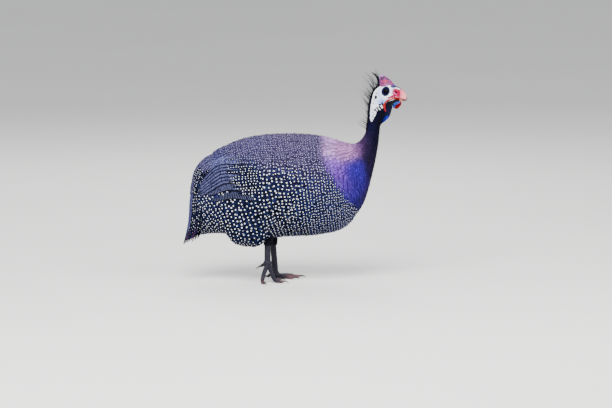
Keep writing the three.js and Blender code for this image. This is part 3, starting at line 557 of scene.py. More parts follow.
def featherMaterial(name, **surface):
    material, tree, shader = newMaterial(name, **surface)
    tint = readColour(tree, "tint")
    spots = splitVector(tree, readVector(tree, "spots"))
    vane = readVector(tree, "vane")
    shape = splitVector(tree, addNode(tree, "ShaderNodeUVMap", uv_map="vaneShape").outputs[0])
    barbs = useGroup(tree, barbGroup, {"Vane": vane})
    cellVector = addNode(tree, "ShaderNodeVectorMath", {0: vane}, operation="SCALE")
    tree.links.new(spots[1], cellVector.inputs["Scale"])
    # Whole cells set each feather's spots apart from the next one's.
    # Half a cell puts a pair beside the quill.
    own = splitVector(tree, vane)[2]
    offset = addNode(tree, "ShaderNodeCombineXYZ",
                     {0: mathOf(tree, "MULTIPLY", own, 7.0), 1: mathOf(tree, "MULTIPLY", own, 3.0)})
    shifted = addNode(tree, "ShaderNodeVectorMath", {0: cellVector.outputs[0], 1: (0.65, 0.62, 0.0)},
                      operation="ADD")
    shifted = addNode(tree, "ShaderNodeVectorMath", {0: shifted.outputs[0], 1: offset.outputs[0]},
                      operation="ADD")
    pattern = useGroup(tree, spotGroup, {"Vector": shifted.outputs[0], "Radius": spots[0]})
    # Pale wavy marks between the spots.
    place = objectPlace(tree)
    marks = addNode(tree, "ShaderNodeTexNoise",
                    {"Vector": place, "Scale": 330.0, "Detail": 2.0, "Distortion": 1.6})
    marks = mathOf(tree, "MULTIPLY", softStep(tree, marks.outputs[0], 0.52, 0.6), spots[2])
    marks = mathOf(tree, "MULTIPLY", marks, mathOf(tree, "SUBTRACT", 1.0, pattern["Ring"]))
    edge = mathOf(tree, "ABSOLUTE", mathOf(tree, "SUBTRACT", shape[0], 0.5))
    edgeShade = softStep(tree, edge, 0.38, 0.5, top=0.4)
    barbShade = mathOf(tree, "MULTIPLY_ADD", barbs["Barb"], 0.32, 0.78)
    ground = mixOf(tree, 1.0, tint, barbShade, "MULTIPLY")
    upper = softStep(tree, spots[2], 0.3, 0.62)
    markTint = mixOf(tree, upper, rgba("5c7cf4"), rgba("a297c8"))
    colour = mixOf(tree, marks, ground, mixOf(tree, 0.4, tint, markTint))
    colour = mixOf(tree, mathOf(tree, "MULTIPLY", pattern["Ring"], 0.85), colour, rgba("030409"))
    colour = mixOf(tree, edgeShade, colour, rgba("05060f"))
    colour = mixOf(tree, mathOf(tree, "MULTIPLY", barbs["Quill"], 0.2), colour, rgba("2c2c44"))
    bright = mathOf(tree, "MULTIPLY", pattern["Spot"], mathOf(tree, "MULTIPLY_ADD", spots[2], -0.3, 1.1))
    colour = mixOf(tree, mathOf(tree, "MINIMUM", bright, 1.0), colour,
                   mixOf(tree, upper, rgba("f8faff"), rgba("b8b2dc")))
    tree.links.new(colour, shader.inputs["Base Color"])
    giveBump(tree, shader, barbs["Barb"], 0.35, 0.0003)
    tree.links.new(mathOf(tree, "MULTIPLY_ADD", barbs["Barb"], 0.14, 0.52), shader.inputs["Roughness"])
    return material


contourFeather = featherMaterial("spottedFeather", Specular_IOR_Level=0.02)


# Rows of body feathers, each row a ring round the chart.
coatRows = {
    "sections": [0, 4, 7, 9.5, 11.5, 15],
    "pitch": [6.6, 7.4, 9.2, 8.6, 6.4, 4.9], "across": [13, 14, 17.5, 16.5, 12.6, 9.6],
    "jitter": 0.06, "backSpot": 4.9, "radius": 0.164, "backRadius": 0.15, "sink": 3.2, "lift": 0.9,
}


def coatPlaces(kFrom, kTo, pitch, across, lean, key):
    # Roots in staggered rows. pitch(k) is the spacing of rows at the angle lean, across(k, a) that in a row.
    draw = np.random.default_rng(key)
    found = {"k": [], "a": [], "pitch": [], "across": []}
    k, row = kFrom, 0
    fine = np.linspace(-math.pi / 2, math.pi / 2, 241)
    while k < kTo:
        step = pitch(k) / float(np.linalg.norm(chartLook(alongK, np.array([k]), np.array([lean]))[0]))
        ring = chartLook(outerGrid, np.full(fine.shape, k), fine)
        gaps = np.linalg.norm(np.diff(ring, axis=0), axis=1)
        middle = (fine[1:] + fine[:-1]) / 2
        wanted = across(np.full(middle.shape, k), middle)
        load = np.concatenate([[0], np.cumsum(gaps / wanted)])
        number = max(int(round(load[-1])), 3)
        for sign in (1, -1):
            spots = (np.arange(number) + (0.5 if row % 2 else 0.0) + 0.25) / number
            spots = spots + draw.normal(0, coatRows["jitter"], number) / number
            angle = np.interp(spots * load[-1], load, fine)
            found["k"].append(k + draw.normal(0, coatRows["jitter"], number) * step)
            found["a"].append(angle if sign > 0 else math.pi - angle)
            found["pitch"].append(np.linalg.norm(chartLook(alongK, np.full(number, k), angle), axis=1) * step)
            found["across"].append(np.interp(angle, middle, wanted))
        k, row = k + step, row + 1
    return (np.concatenate(part) for part in found.values())


def sideAndHeight(a):
    # 1 on the bird's left and -1 on its right, and the same angle in degrees on both sides.
    left = np.cos(a) >= 0
    return np.where(left, 1.0, -1.0), np.degrees(np.where(left, a, math.pi - a))


def spottedCoat():
    # The spotted feathers of body, wing and rump.
    def across(k, a):
        wide = np.interp(k, coatRows["sections"], coatRows["across"])
        return wide * (1 - 0.3 * ease(np.degrees(a), 30, 75))

    pitch = lambda k: float(np.interp(k, coatRows["sections"], coatRows["pitch"]))
    k, a, local, wide = coatPlaces(0.5, 19.5, pitch, across, 0.0, 3)
    place = chartLook(outerGrid, k, a)
    x, z = place[:, 0], place[:, 2]
    plain = plainShare(x, z)
    keep = plain < 0.93
    # Rows crowd where the sections fan in, so some are left out there.
    keep &= random.random(len(k)) < np.clip(local / 4.4, 0.35, 1)
    k, a, local, wide, x, z, plain = (v[keep] for v in (k, a, local, wide, x, z, plain))
    side, high = sideAndHeight(a)
    length = np.clip(local * 2.7, 12, 29)
    half = wide * 0.66
    fine = np.maximum(ease(z, 205, 262) * ease(x, -190, -120), ease(z, 228, 276))
    # A pair of spots shows on each feather, one row to a feather.
    spacing = np.clip(local * 0.97, 5.0, 9.4) * (1 - fine) + coatRows["backSpot"] * fine
    radius = coatRows["radius"] + (coatRows["backRadius"] - coatRows["radius"]) * fine
    radius = radius + random.normal(0, 0.01, len(k))
    chest = ease(x, 40, 100) * (1 - fine)
    radius = (radius - 0.026 * ease(x, -60, -130)) * (1 - 0.45 * ease(plain, 0.1, 0.9))
    radius = radius * (1 - 0.05 * chest) * (1 - 0.2 * ease(z, 125, 95))
    tint = plumageTint(x, z) * (1 + random.normal(0, 0.1, (len(k), 1)))
    marks = 0.26 + 0.36 * fine + 0.16 * chest
    look = {"tint": np.clip(tint, 0, 1), "spots": np.stack([radius, 1 / spacing, np.clip(marks, 0, 1)], -1)}
    veer = -side * 0.12 * ease(high, -10, 60) * ease(k, 4, 9) + random.normal(0, 0.05, len(k))
    return k, a, length, half, veer, look


def layCoat():
    # One piece for each region keeps every mesh light.
    k, a, length, half, veer, look = spottedCoat()
    print("body feathers:", len(k))
    regions = [part + side for part in ("coatHind", "coatFlank", "coatBreast") for side in ("Left", "Right")]
    regionOf = np.where(k < 6.5, 0, np.where(k < 11.5, 1, 2)) * 2 + (np.cos(a) < 0)
    for number, label in enumerate(regions):
        chosen = regionOf == number
        part = {key: value[chosen] for key, value in look.items()}
        made = layVanes(label, k[chosen], a[chosen], length[chosen], half[chosen], veer[chosen],
                        coatRows["sink"], coatRows["lift"], part)
        dress(made, contourFeather, "plumage")


layCoat()


def throatBlue(x, z):
    # The bright bulge under the throat, soft at its rim.
    return ease(np.hypot((x - 227.5) / 7.5, (z - 325) / 6.5), 1.35, 0.35)


def hackleCoat():
    # Plain narrow feathers of the lower neck, and the velvet of the upper neck.
    def across(k, a):
        return np.interp(k, [11, 16, 20, 24, 27], [7.5, 6.2, 4.2, 3.0, 2.6])

    pitch = lambda k: float(np.interp(k, [11, 16, 20, 23, 27], [7.5, 8.0, 8.5, 3.2, 2.6]))
    k, a, local, wide = coatPlaces(11.2, 27.6, pitch, across, -0.7, 5)
    place = chartLook(outerGrid, k, a)
    x, z = place[:, 0], place[:, 2]
    plain = plainShare(x, z)
    keep = plain + random.normal(0, 0.12, len(k)) > 0.6
    keep &= random.random(len(k)) < np.clip(local / 2.4, 0.3, 1)
    keep &= ~faceArea(x, z, a)
    k, a, local, wide, x, z = (v[keep] for v in (k, a, local, wide, x, z))
    length = np.clip(local * 2.6, 6.5, 27)
    half = np.clip(wide * 0.62, 1.7, 4.6)
    tint = plumageTint(x, z) * (1 + random.normal(0, 0.16, (len(k), 1)))
    blue = throatBlue(x, z)[:, None]
    tint = tint * (1 - blue) + shade("1219ae") * blue
    look = {"tint": np.clip(tint, 0, 1), "spots": np.tile([0.0, 0.2, 0.0], (len(k), 1))}
    side, high = sideAndHeight(a)
    down = np.interp(k, [11, 13, 16, 18, 20], [0.5, 0.95, 0.75, 0.4, 0.0])
    down = down * (1 - 0.75 * ease(high, 30, 75)) * ease(high, -88, -55)
    return k, a, length, half, -side * down + random.normal(0, 0.07, len(k)), look


# The bare face: inside this line on the side of the head, but for a strip down the nape.
faceLine = np.array([
    (193.5, 319.5), (199, 326), (203.5, 333), (207.5, 341.5), (213, 343.5), (219, 345), (221.5, 351.5),
    (225, 352), (224, 340), (222, 330), (224, 321), (240, 318), (275, 340), (275, 402), (203, 402),
    (201, 388), (195.5, 366), (191.5, 345), (190.5, 325),
], float)


def insideLine(line, x, z):
    found = np.zeros(np.shape(x), bool)
    for (x1, z1), (x2, z2) in zip(line, np.roll(line, -1, axis=0)):
        cross = (z1 > z) != (z2 > z)
        with np.errstate(divide="ignore", invalid="ignore"):
            found ^= cross & (x < (x2 - x1) * (z - z1) / (z2 - z1) + x1)
    return found


def lineDistance(x, z, start, end):
    # How far a place on the head's side is from a straight line between two others.
    (x1, z1), (x2, z2) = start, end
    along = np.clip(((x - x1) * (x2 - x1) + (z - z1) * (z2 - z1)) / ((x2 - x1) ** 2 + (z2 - z1) ** 2), 0, 1)
    return np.hypot(x - x1 - along * (x2 - x1), z - z1 - along * (z2 - z1))


def faceArea(x, z, a):
    return insideLine(faceLine, x, z) & (np.sin(a) < 0.9)


def layHackles():
    k, a, length, half, veer, look = hackleCoat()
    print("neck feathers:", len(k))
    rows, columns = np.array([0, 0.35, 0.65, 0.88, 1.0]), np.array([-1, 0, 1])
    for label, chosen, sink, lift in (("hackleLower", k < 20, 2.0, 0.8), ("hackleUpper", k >= 20, 0.9, 0.5)):
        part = {key: value[chosen] for key, value in look.items()}
        made = layVanes(label, k[chosen], a[chosen], length[chosen], half[chosen], veer[chosen],
                        sink, lift, part, rows=rows, columns=columns, cup=0.35)
        dress(made, plainFeather, "mauve")


plainFeather = featherMaterial("violetFeather", Specular_IOR_Level=0.03)
layHackles()
print("coat laid")


# The skin under the coat, bare on the face

eyeBall = {"x": 226.8, "side": 8.2, "z": 380.9, "radius": 6.2}
face = {
    "opening": (5.7, 5.6), "lidWide": 2.1, "lidProud": 0.8,
    "ear": (205.4, 369.4, 2.9), "nostril": (248.4, 378.6), "nostrilSlant": -38,
    "cere": (247.4, 376.6, 7.8, 7.6),
    "mouth": ((256, 364.4), (240.4, 368.2)), "frontX": 255.0,
    "specks": [(206.6, 377, 2.6), (202.6, 343.6, 3.2), (200, 357, 2.0), (197, 331, 2.4), (200.5, 335, 2.2),
               (196, 346, 1.9), (202, 364.5, 2.2), (196, 325, 2.2),
               (200, 328.5, 2.2), (198.6, 339, 2.0)],
    "bands": [
        ((247, 372.6), (239, 369.6), 3.0, "magenta"), ((239, 369.6), (233.5, 367.6), 2.2, "magenta"),
        ((257, 365.8), (245.5, 367.6), 2.6, "red"), ((245.5, 366.4), (230, 362.4), 1.7, "red"),
        ((213.7, 350.4), (218.6, 344.1), 2.5, "ink"), ((208.2, 349), (211.6, 343), 2.2, "ink"),
        ((213.2, 355), (216, 354), 2.4, "navy"), ((219.4, 357), (223, 350), 2.6, "ink"),
        ((204, 345.5), (206.6, 341.6), 1.9, "ink"),
    ],
}


def nostrilParts(x, z):
    # Places along and across the slanted nostril.
    nx, nz = face["nostril"]
    c, s = math.cos(math.radians(face["nostrilSlant"])), math.sin(math.radians(face["nostrilSlant"]))
    return (x - nx) * c + (z - nz) * s, -(x - nx) * s + (z - nz) * c


def sculptFace(p):
    # Presses the eye sockets, lids, ears, nostrils and mouth into the head's surface, side by side.
    p = p.copy()
    sign = np.where(p[..., 1] >= 0, 1.0, -1.0)
    x, y, z = p[..., 0], np.abs(p[..., 1]), p[..., 2]
    upper = ease(z, 340, 350)
    # Cere
    cx, cz, rx, rz = face["cere"]
    q = ((x - cx) / rx) ** 2 + ((z - cz) / rz) ** 2
    bulge = 5 + 4.6 * np.sqrt(np.maximum(0, 1 - q))
    y = np.where((q < 1) & (y > 3), np.maximum(y, y * 0.35 + bulge * 0.65), y)
    u, v = nostrilParts(x, z)
    y = y - 1.7 * ease(np.hypot(u / 3.2, v / 1.1), 1.15, 0.5) * (y > 4)
    y = y + 0.8 * ease(np.hypot(u / 3.8, (v + 2.2) / 1.2), 1.2, 0.3) * (y > 4)
    # Mouth
    off = lineDistance(x, z, *face["mouth"])
    y = y - 1.3 * ease(off, 0.9, 0.2) * (y > 3) + 0.5 * ease(np.abs(off - 1.5), 1.0, 0.2) * (y > 3)
    # Ear
    ex, ez, er = face["ear"]
    d = np.hypot(x - ex, z - ez)
    y = y - 2.4 * ease(d, er, er * 0.4) * (y > 5) + 0.45 * ease(np.abs(d - er - 0.7), 0.9, 0.1) * (y > 5)
    # Eye
    dx, dz = x - eyeBall["x"], z - eyeBall["z"]
    d = np.hypot(dx, dz)
    theta = np.arctan2(dz, dx)
    a1, b1 = face["opening"]
    opening = a1 * b1 / np.sqrt((b1 * np.cos(theta)) ** 2 + (a1 * np.sin(theta)) ** 2)
    r = eyeBall["radius"]
    ball = eyeBall["side"] + np.sqrt(np.maximum(0, r * r - d * d))
    lidR = r + face["lidProud"]
    lid = eyeBall["side"] + np.sqrt(np.maximum(0, lidR ** 2 - np.minimum(d, 6.75) ** 2))
    brow = 0.7 * ease(np.abs(d - 9.2), 1.6, 0.2) * ease(dz, -2, 5)
    fold = -0.5 * ease(np.abs(d - opening - face["lidWide"] - 0.9), 0.8, 0.1)
    outer = y + brow + fold
    blend = ease(d, opening + face["lidWide"] - 0.3, opening + face["lidWide"] + 1.6)
    lifted = np.maximum(lid, y) * (1 - blend) + outer * blend
    inner = ball - 1.5
    socket = ease(d, opening + 0.15, opening - 0.45)
    made = lifted * (1 - socket) + inner * socket
    near = (d < 12) & (y > 4.5)
    y = np.where(near, made, y)
    # The front end sits inside the bill, and the chin draws back over the throat.
    front = face["frontX"]
    chin = 3.2 * ease(x, 224, 240) * ease(np.abs(z - 353.5), 8, 2)
    p[..., 0] = np.where(x > front, front + (x - front) * 0.12, x) - chin
    p[..., 1] = sign * (np.abs(p[..., 1]) * (1 - upper) + y * upper)
    return p


faceTints = {
    "white": "f6f9ff", "paleBlue": "98b4f4", "blue": "5480e8", "magenta": "9c0042", "red": "94000a",
    "maroon": "38040f",
    "deepBlue": "1219ae", "ink": "040510", "navy": "04062a", "lidInk": "070b30", "browGrey": "2b3162",
    "pink": "dc7aa6",
}


# Soft blue patches on the white: middle, radii, where each begins and is full, strength and colour.
faceBlues = [
    (214, 378, 9, 12, (1.2, 0.3), 0.6, "paleBlue"), (217, 361, 12, 8.5, (1.2, 0.3), 0.85, "paleBlue"),
    (221, 359, 8, 5, (1.1, 0.2), 0.7, "blue"), (206, 360, 1.6, 7, (1.1, 0.3), 0.55, "blue"),
    (237, 380, 6, 5, (1.2, 0.3), 0.45, "blue"),
]


def faceColour(p, a):
    # Colours of the bare skin by place on the head's side, and of the skin under the coat.
    x, z = p[..., 0], p[..., 2]
    tint = {key: shade(value) for key, value in faceTints.items()}
    colour = plumageTint(x, z) * 0.8

    def paint(mask, name):
        nonlocal colour
        colour = colour * (1 - mask[..., None]) + tint[name] * mask[..., None]

    grain = 1.4 * np.sin(x * 1.9 + 2 * np.sin(z * 0.8)) * np.sin(z * 1.7 + 1.3 * np.sin(x * 1.1))
    inFace = faceArea(x + grain * 0.5, z + grain * 0.5, a)
    throat = (x > 221.5) & (z < 356 + (x - 224) * 0.4) & (z > 316)
    paint(inFace.astype(float), "white")
    for cx, cz, rx, rz, (rim, core), strength, name in faceBlues:
        paint(inFace * ease(np.hypot((x - cx) / rx, (z - cz) / rz), rim, core) * strength, name)
    paint(inFace * ease(np.abs(np.hypot(x - eyeBall["x"], z - eyeBall["z"]) - 15.5), 1.6, 0.3) * 0.35,
          "paleBlue")
    paint(ease(np.hypot((x - 242) / 8.5, (z - 391) / 4.6), 1.15, 0.6) * (z > 340), "browGrey")
    paint(ease(np.hypot((x - 226) / 22, (z - 396) / 4), 1.1, 0.6) * (z > 340) * 0.7, "pink")
    eyeD = np.hypot(x - eyeBall["x"], (z - eyeBall["z"]) / 1.04)
    paint(ease(np.abs(eyeD - 11), 1.7, 0.6) * (z > eyeBall["z"] - 6) * 0.8, "white")
    paint(ease(eyeD, 9.8, 8.9), "lidInk")
    paint(throat.astype(float), "ink")
    paint(throat * ease(np.hypot((x - 232) / 14, (z - 338) / 14), 1.2, 0.4) * 0.8, "navy")
    paint(throatBlue(x, z), "deepBlue")
    # A white patch and a black line under the gape
    paint(ease(np.hypot((x - 240) / 8, (z - 366.2 - 0.12 * (x - 240)) / 2.0), 1.15, 0.7), "white")
    paint(ease(np.hypot((x - 241.5) / 0.9, (z - 366.6) / 2.2), 1.15, 0.6), "ink")
    paint(ease(np.hypot((x - 238) / 13, (z - 360.6 - 0.16 * (x - 238)) / 1.8), 1.15, 0.6), "ink")
    patch = (np.abs((x - 249.5) / 8.6) ** 3 + np.abs((z - 377.2 + 0.35 * (x - 249.5)) / 8.4) ** 3) ** (1 / 3)
    paint(ease(patch + 0.12 * grain, 1.12, 0.85) * (z > 360), "magenta")
    u, v = nostrilParts(x, z)
    paint(ease(np.hypot(u / 5.6, (v + 2.9) / 1.2), 1.15, 0.6) * 0.9, "pink")
    paint(ease(np.hypot((x - 252.5) / 1.8, (z - 380) / 3), 1.2, 0.5) * 0.9, "red")
    paint(ease(np.hypot(u / 4.4, (v - 0.4) / 1.7), 1.15, 0.6), "maroon")
    for start, end, wide, name in face["bands"]:
        off = lineDistance(x, z, start, end) + 0.25 * grain
        paint(ease(off, wide, wide * 0.6) * (z > 340), name)
    paint(ease(np.hypot(x - face["ear"][0], (z - face["ear"][1]) * 0.85), 3.7, 2.7), "ink")
    for dx, dz, wide in face["specks"]:
        paint(ease(np.hypot(x - dx, z - dz), wide, wide * 0.5) * 0.8, "navy")
    return colour


# How deep the skin lies under the coat, by section.
skinDepth = {"sections": [0, 14, 18, 21, 24, 26, 28, 35], "depth": [6.5, 6.5, 4.5, 3.0, 1.6, 0.8, 0.0, 0.0]}

# The legs' lines, from the hocks to the claws
legs = {
    "right": {"side": -1, "hock": (-15, -30, 98), "pad": (-15, -31, 38),
              "toes": {"inner": [(-12, -28, 34), (-7, -25, 19), (-1, -20, 5.2), (10, -14, 2.7)],
                       "middle": [(-11, -32, 33), (-6, -35, 18), (1, -38, 5.2), (16, -43, 2.7)],
                       "outer": [(-16, -34, 34), (-22, -42, 19), (-25, -50, 5.2), (-21, -63, 2.7)],
                       "hind": [(-19, -29, 38), (-28.5, -27, 32)]},
              "claws": {"inner": [(7, -15.6, 3.8), (15, -11.6, 4.2), (21, -9, 1.6)],
                        "middle": [(13, -42, 3.8), (22, -45, 4.2), (28, -47, 1.6)],
                        "outer": [(-22, -60, 3.8), (-19, -68, 4.2), (-16.6, -73.5, 1.6)],
                        "hind": [(-27, -27.3, 33), (-33.5, -26, 30), (-38, -25.5, 26)]}},
    "left": {"side": 1, "hock": (-5, 30, 83), "pad": (0, 30, 8.2),
             "toes": {"inner": [(3, 27.5, 6.5), (16, 22.5, 4.2), (28, 17, 3.7), (37, 13, 3.1)],
                      "middle": [(4, 31, 6.5), (20, 32, 4.2), (36, 32.5, 3.7), (49, 33, 3.1)],
                      "outer": [(2, 34, 6.5), (12, 42.5, 4.2), (22, 50, 3.7), (29, 55, 3.1)],
                      "hind": [(-5, 29, 10), (-16, 26.8, 3.4)]},
             "claws": {"inner": [(34, 14.3, 3.8), (43, 10.5, 4.2), (48.5, 8.4, 1.6)],
                       "middle": [(46, 32.9, 3.8), (56, 33.4, 4.2), (62, 33.6, 1.6)],
                       "outer": [(26.7, 53.4, 3.8), (34, 58.4, 4.2), (38.5, 61.6, 1.6)],
                       "hind": [(-14, 27.2, 4.4), (-21, 25.8, 4.4), (-26, 24.8, 1.6)]}},
}


def bodySkin():
    # The chart's surface less the coat's depth, closed at both ends, with its colours.
    depth = np.interp(chartK, skinDepth["sections"], skinDepth["depth"])[:, None] * np.ones(chart["columns"])
    depth = np.where(faceArea(bareGrid[..., 0], bareGrid[..., 2], gridA), 0.0, depth)
    grid = sculptFace(outerGrid - outerNormal * depth[..., None])
    colour = faceColour(grid, gridA)
    points, groups = loftMesh(grid)
    tints = np.concatenate([colour.reshape(-1, 3), colour[0].mean(0)[None], colour[-1].mean(0)[None]])
    return turnHead(points), groups, tints


def shinLine(leg):
    # From inside the thigh to the hock.
    hock = np.array(leg["hock"], float)
    return hock + [-14, 6 * leg["side"], 30], hock


def makeSkin():
    points, groups, tints = bodySkin()
    parts, tints = [(points, groups)], [tints]
    for leg in legs.values():
        knee, hock = shinLine(leg)
        shin = tubeMesh([knee, (knee + hock) / 2, hock + [0, 0, 1]],
                        lambda s: (15.5 - 8 * s, 15.5 - 7.5 * s), 24, 16, up=(1, 0, 0))
        parts.append(shin)
        tints.append(np.tile(shade("191a26"), (len(shin[0]), 1)))
    points, groups = mergeMeshes(parts)
    made = makeObject("skin", points, groups)
    giveColour(made, "skinTint", np.concatenate(tints))
    place = np.stack([(gridA.ravel() + math.pi / 2) / (2 * math.pi), gridK.ravel() / lastSection], -1)
    giveUv(made, "skinChart", np.concatenate([place, np.full((len(points) - gridK.size, 2), 0.995)]))
    return made


def skinMaterial():
    material, tree, shader = newMaterial("bareSkin", Roughness=0.55, Subsurface_Weight=0.08,
                                         Subsurface_Scale=0.001, Specular_IOR_Level=0.08)
    tint = readColour(tree, "skinTint")
    place = objectPlace(tree)
    pores = addNode(tree, "ShaderNodeTexVoronoi", {"Vector": place, "Scale": 850.0},
                    feature="DISTANCE_TO_EDGE")
    folds = addNode(tree, "ShaderNodeTexNoise",
                    {"Vector": place, "Scale": 240.0, "Detail": 5.0, "Roughness": 0.62})
    pebble = softStep(tree, pores.outputs["Distance"], 0.0, 0.22)
    # Painted shade: the skin is darker towards each pebble's rim, in the creases between the pebbles.
    creaseShadeShare = mathOf(tree, "MULTIPLY_ADD", pebble, 0.14, 0.88)
    colour = mixOf(tree, 1.0, tint, creaseShadeShare, "MULTIPLY")
    colour = mixOf(tree, softStep(tree, folds.outputs[0], 0.46, 0.66, top=0.2), colour, rgba("93a4e0"),
                   "MULTIPLY")
    tree.links.new(colour, shader.inputs["Base Color"])
    height = mathOf(tree, "ADD", mathOf(tree, "MULTIPLY", pebble, 0.4), folds.outputs[0])
    giveBump(tree, shader, height, 0.55, 0.0006)
    return material


skin = dress(makeSkin(), skinMaterial(), "skin", "torso", "thigh_right", "thigh_left", "neck", "head")
print("skin made:", len(skin.data.polygons), "faces")


# Wing quills: long barred feathers in tiers on the flank, each over the next one down

flightRows = np.concatenate([np.linspace(0, 0.9, 11), [0.955, 0.985, 1.0]])
flightColumns = np.array([-1, -0.7, -0.35, 0, 0.35, 0.7, 0.9, 1])
quillTiers = {
    "lowSecondaries": {"count": 2, "half": (10.5, 8.0), "lift": (-2.6, 0.9, 0.7), "rise": 0.5,
                       "root": [(8.4, 3), (8.4, -9)], "tip": [(4.1, 27), (4.2, 14)],
                       "tint": "030408", "marks": 0.04, "bars": 0.4},
    "secondaries": {"count": 8, "half": (8.6, 8.8), "lift": (-2.4, 1.2, 2.2), "rise": 0.9,
                    "root": [(8.9, 31), (8.8, 23), (8.7, 15), (8.6, 7)],
                    "tip": [(4.3, 66), (3.8, 57), (3.45, 47), (3.4, 36)],
                    "tint": "1c1e38", "marks": 0.55, "bars": 0.16},
    "greaterCoverts": {"count": 8, "half": (6.6, 6.6), "lift": (-2.4, 0.9, 1.9), "rise": 0.6,
                       "root": [(9.0, 36), (8.9, 26), (8.9, 14), (9.0, 0)],
                       "tip": [(6.5, 50), (6.3, 37), (6.2, 22), (6.5, 5)],
                       "tint": "04050c", "marks": 0.25, "bars": 0.0},
}


def chartVanes(name, path, half, heights, look, side, rows, columns, rise):
    # Vanes along given chart paths (vane, row, k and a). The lower edge is raised over the next vane.
    count = len(path)
    points = np.zeros((count, len(rows), len(columns), 3))
    flats = np.zeros((count, len(rows), len(columns), 3))
    centre = chartLook(outerGrid, path[..., 0], path[..., 1])
    along = unit(np.gradient(centre, axis=1))
    span = np.linalg.norm(np.diff(centre, axis=1), axis=2)
    travelled = np.concatenate([np.zeros((count, 1)), np.cumsum(span, axis=1)], axis=1)
    for i, s in enumerate(rows):
        k, a = path[:, i, 0], path[:, i, 1]
        normal = unit(chartLook(outerNormal, k, a))
        way = unit(along[:, i] - normal * dot(along[:, i], normal)[:, None])
        aside = np.cross(normal, way)
        bk, ba = chartSteps(k, a, aside)
        reach = half * vaneOutline(s, 0.25, 3.0)
        for j, w in enumerate(columns):
            low = -side * w
            ck, ca = np.clip(k + bk * reach * w, *chartEnds), a + ba * reach * w
            n = unit(chartLook(outerNormal, ck, ca))
            stand = heights[:, i] + rise * low - 0.5 * w * w
            points[:, i, j] = chartLook(outerGrid, ck, ca) + n * stand[:, None]
            points[:, i, j] -= way * (0.05 * travelled[:, -1] * w * w * s ** 8)[:, None]
            flats[:, i, j, 0], flats[:, i, j, 1] = low * reach, travelled[:, -1] - travelled[:, i]
        flats[:, i, :, 2] = np.arange(count)[:, None]
    return vaneObject(name, points, flats, path[:, 0, ::-1], look, 0.4, rows, columns)


def flightMaterial():
    material, tree, shader = newMaterial("barredQuill", Specular_IOR_Level=0.03)
    tint = readColour(tree, "tint")
    spots = splitVector(tree, readVector(tree, "spots"))
    vane = readVector(tree, "vane")
    parts = splitVector(tree, vane)
    shape = splitVector(tree, addNode(tree, "ShaderNodeUVMap", uv_map="vaneShape").outputs[0])
    barbs = useGroup(tree, barbGroup, {"Vane": vane})
    place = objectPlace(tree)
    marks = addNode(tree, "ShaderNodeTexNoise",
                    {"Vector": place, "Scale": 380.0, "Detail": 2.0, "Distortion": 1.5})
    marks = mathOf(tree, "MULTIPLY", softStep(tree, marks.outputs[0], 0.47, 0.58), spots[1])
    slant = mathOf(tree, "MULTIPLY_ADD", parts[0], 0.2, parts[1])
    bars = mathOf(tree, "SINE", mathOf(tree, "MULTIPLY", slant, 1.75))
    bars = mathOf(tree, "MULTIPLY", softStep(tree, bars, 0.45, 0.95), spots[2])
    # Painted shadow and a dark margin: a dark line along one long edge of each quill. On the bird's right
    # this is the lower edge, which lies over the next quill down.
    edge = softStep(tree, shape[0], 0.84, 0.93)
    colour = mixOf(tree, 1.0, tint, mathOf(tree, "MULTIPLY_ADD", barbs["Barb"], 0.3, 0.8), "MULTIPLY")
    colour = mixOf(tree, marks, colour, rgba("6d6fa2"))
    colour = mixOf(tree, bars, colour, rgba("858dbe"))
    colour = mixOf(tree, mathOf(tree, "MULTIPLY", barbs["Quill"], 0.4), colour, rgba("0c0c14"))
    colour = mixOf(tree, edge, colour, rgba("05050a"))
    tree.links.new(colour, shader.inputs["Base Color"])
    giveBump(tree, shader, barbs["Barb"], 0.35, 0.0003)
    tree.links.new(mathOf(tree, "MULTIPLY_ADD", barbs["Barb"], 0.14, 0.5), shader.inputs["Roughness"])
    return material


def quillPath(tierName, tier, f, side):
    # Each quill runs straight on the chart, and the secondaries bow upwards a little.
    root, tip = smoothLine(tier["root"], f), smoothLine(tier["tip"], f)
    s = flightRows[None, :, None]
    path = root[:, None] * (1 - s) + tip[:, None] * s
    path[..., 1] += 3.0 * np.sin(math.pi * flightRows)[None] * (tierName == "secondaries")
    path = np.stack([path[..., 0], np.radians(path[..., 1])], -1)
    if side < 0:
        path[..., 1] = math.pi - path[..., 1]
    return path


def quillLook(tierName, tier, f):
    tint = shade(tier["tint"])[None] * (1 + random.normal(0, 0.06, (tier["count"], 1)))
    spots = np.tile([0.0, tier["marks"], tier["bars"]], (tier["count"], 1))
    if tierName == "greaterCoverts":
        # The upper coverts carry the finer, duller spots of the back.
        spots = np.stack([0.125 + 0.02 * f, 1 / (5.0 + 1.5 * f), 0.5 - 0.28 * ease(f, 0, 0.5)], -1)
        tint = tint + (shade("1f1d38") - tint) * (1 - ease(f, 0, 0.4))[:, None]
    if tierName == "secondaries":
        # The top ones are coloured like the back that they come out of.
        share = ease(f, 0, 0.35)[:, None]
        tint = shade("1e2148") * (1 - share) + tint * share
        spots[:, 1] = 0.85 - 0.3 * share[:, 0]
    if tierName == "lowSecondaries":
        spots[0], tint[0] = (0.0, 0.32, 0.25), shade("0c0d18")
    return {"tint": np.clip(tint, 0, 1), "spots": spots}


def layQuills(sideName, side, tierName, tier):
    f = np.linspace(0, 1, tier["count"])
    drift = 0.35 * random.normal(0, 0.5, (tier["count"], 1))
    heights = np.interp(flightRows, [0, 0.3, 1], tier["lift"])[None] + drift
    half = tier["half"][0] + (tier["half"][1] - tier["half"][0]) * f
    return chartVanes(tierName + sideName, quillPath(tierName, tier, f, side), half, heights,
                      quillLook(tierName, tier, f),
                      side, flightRows, flightColumns, tier["rise"])


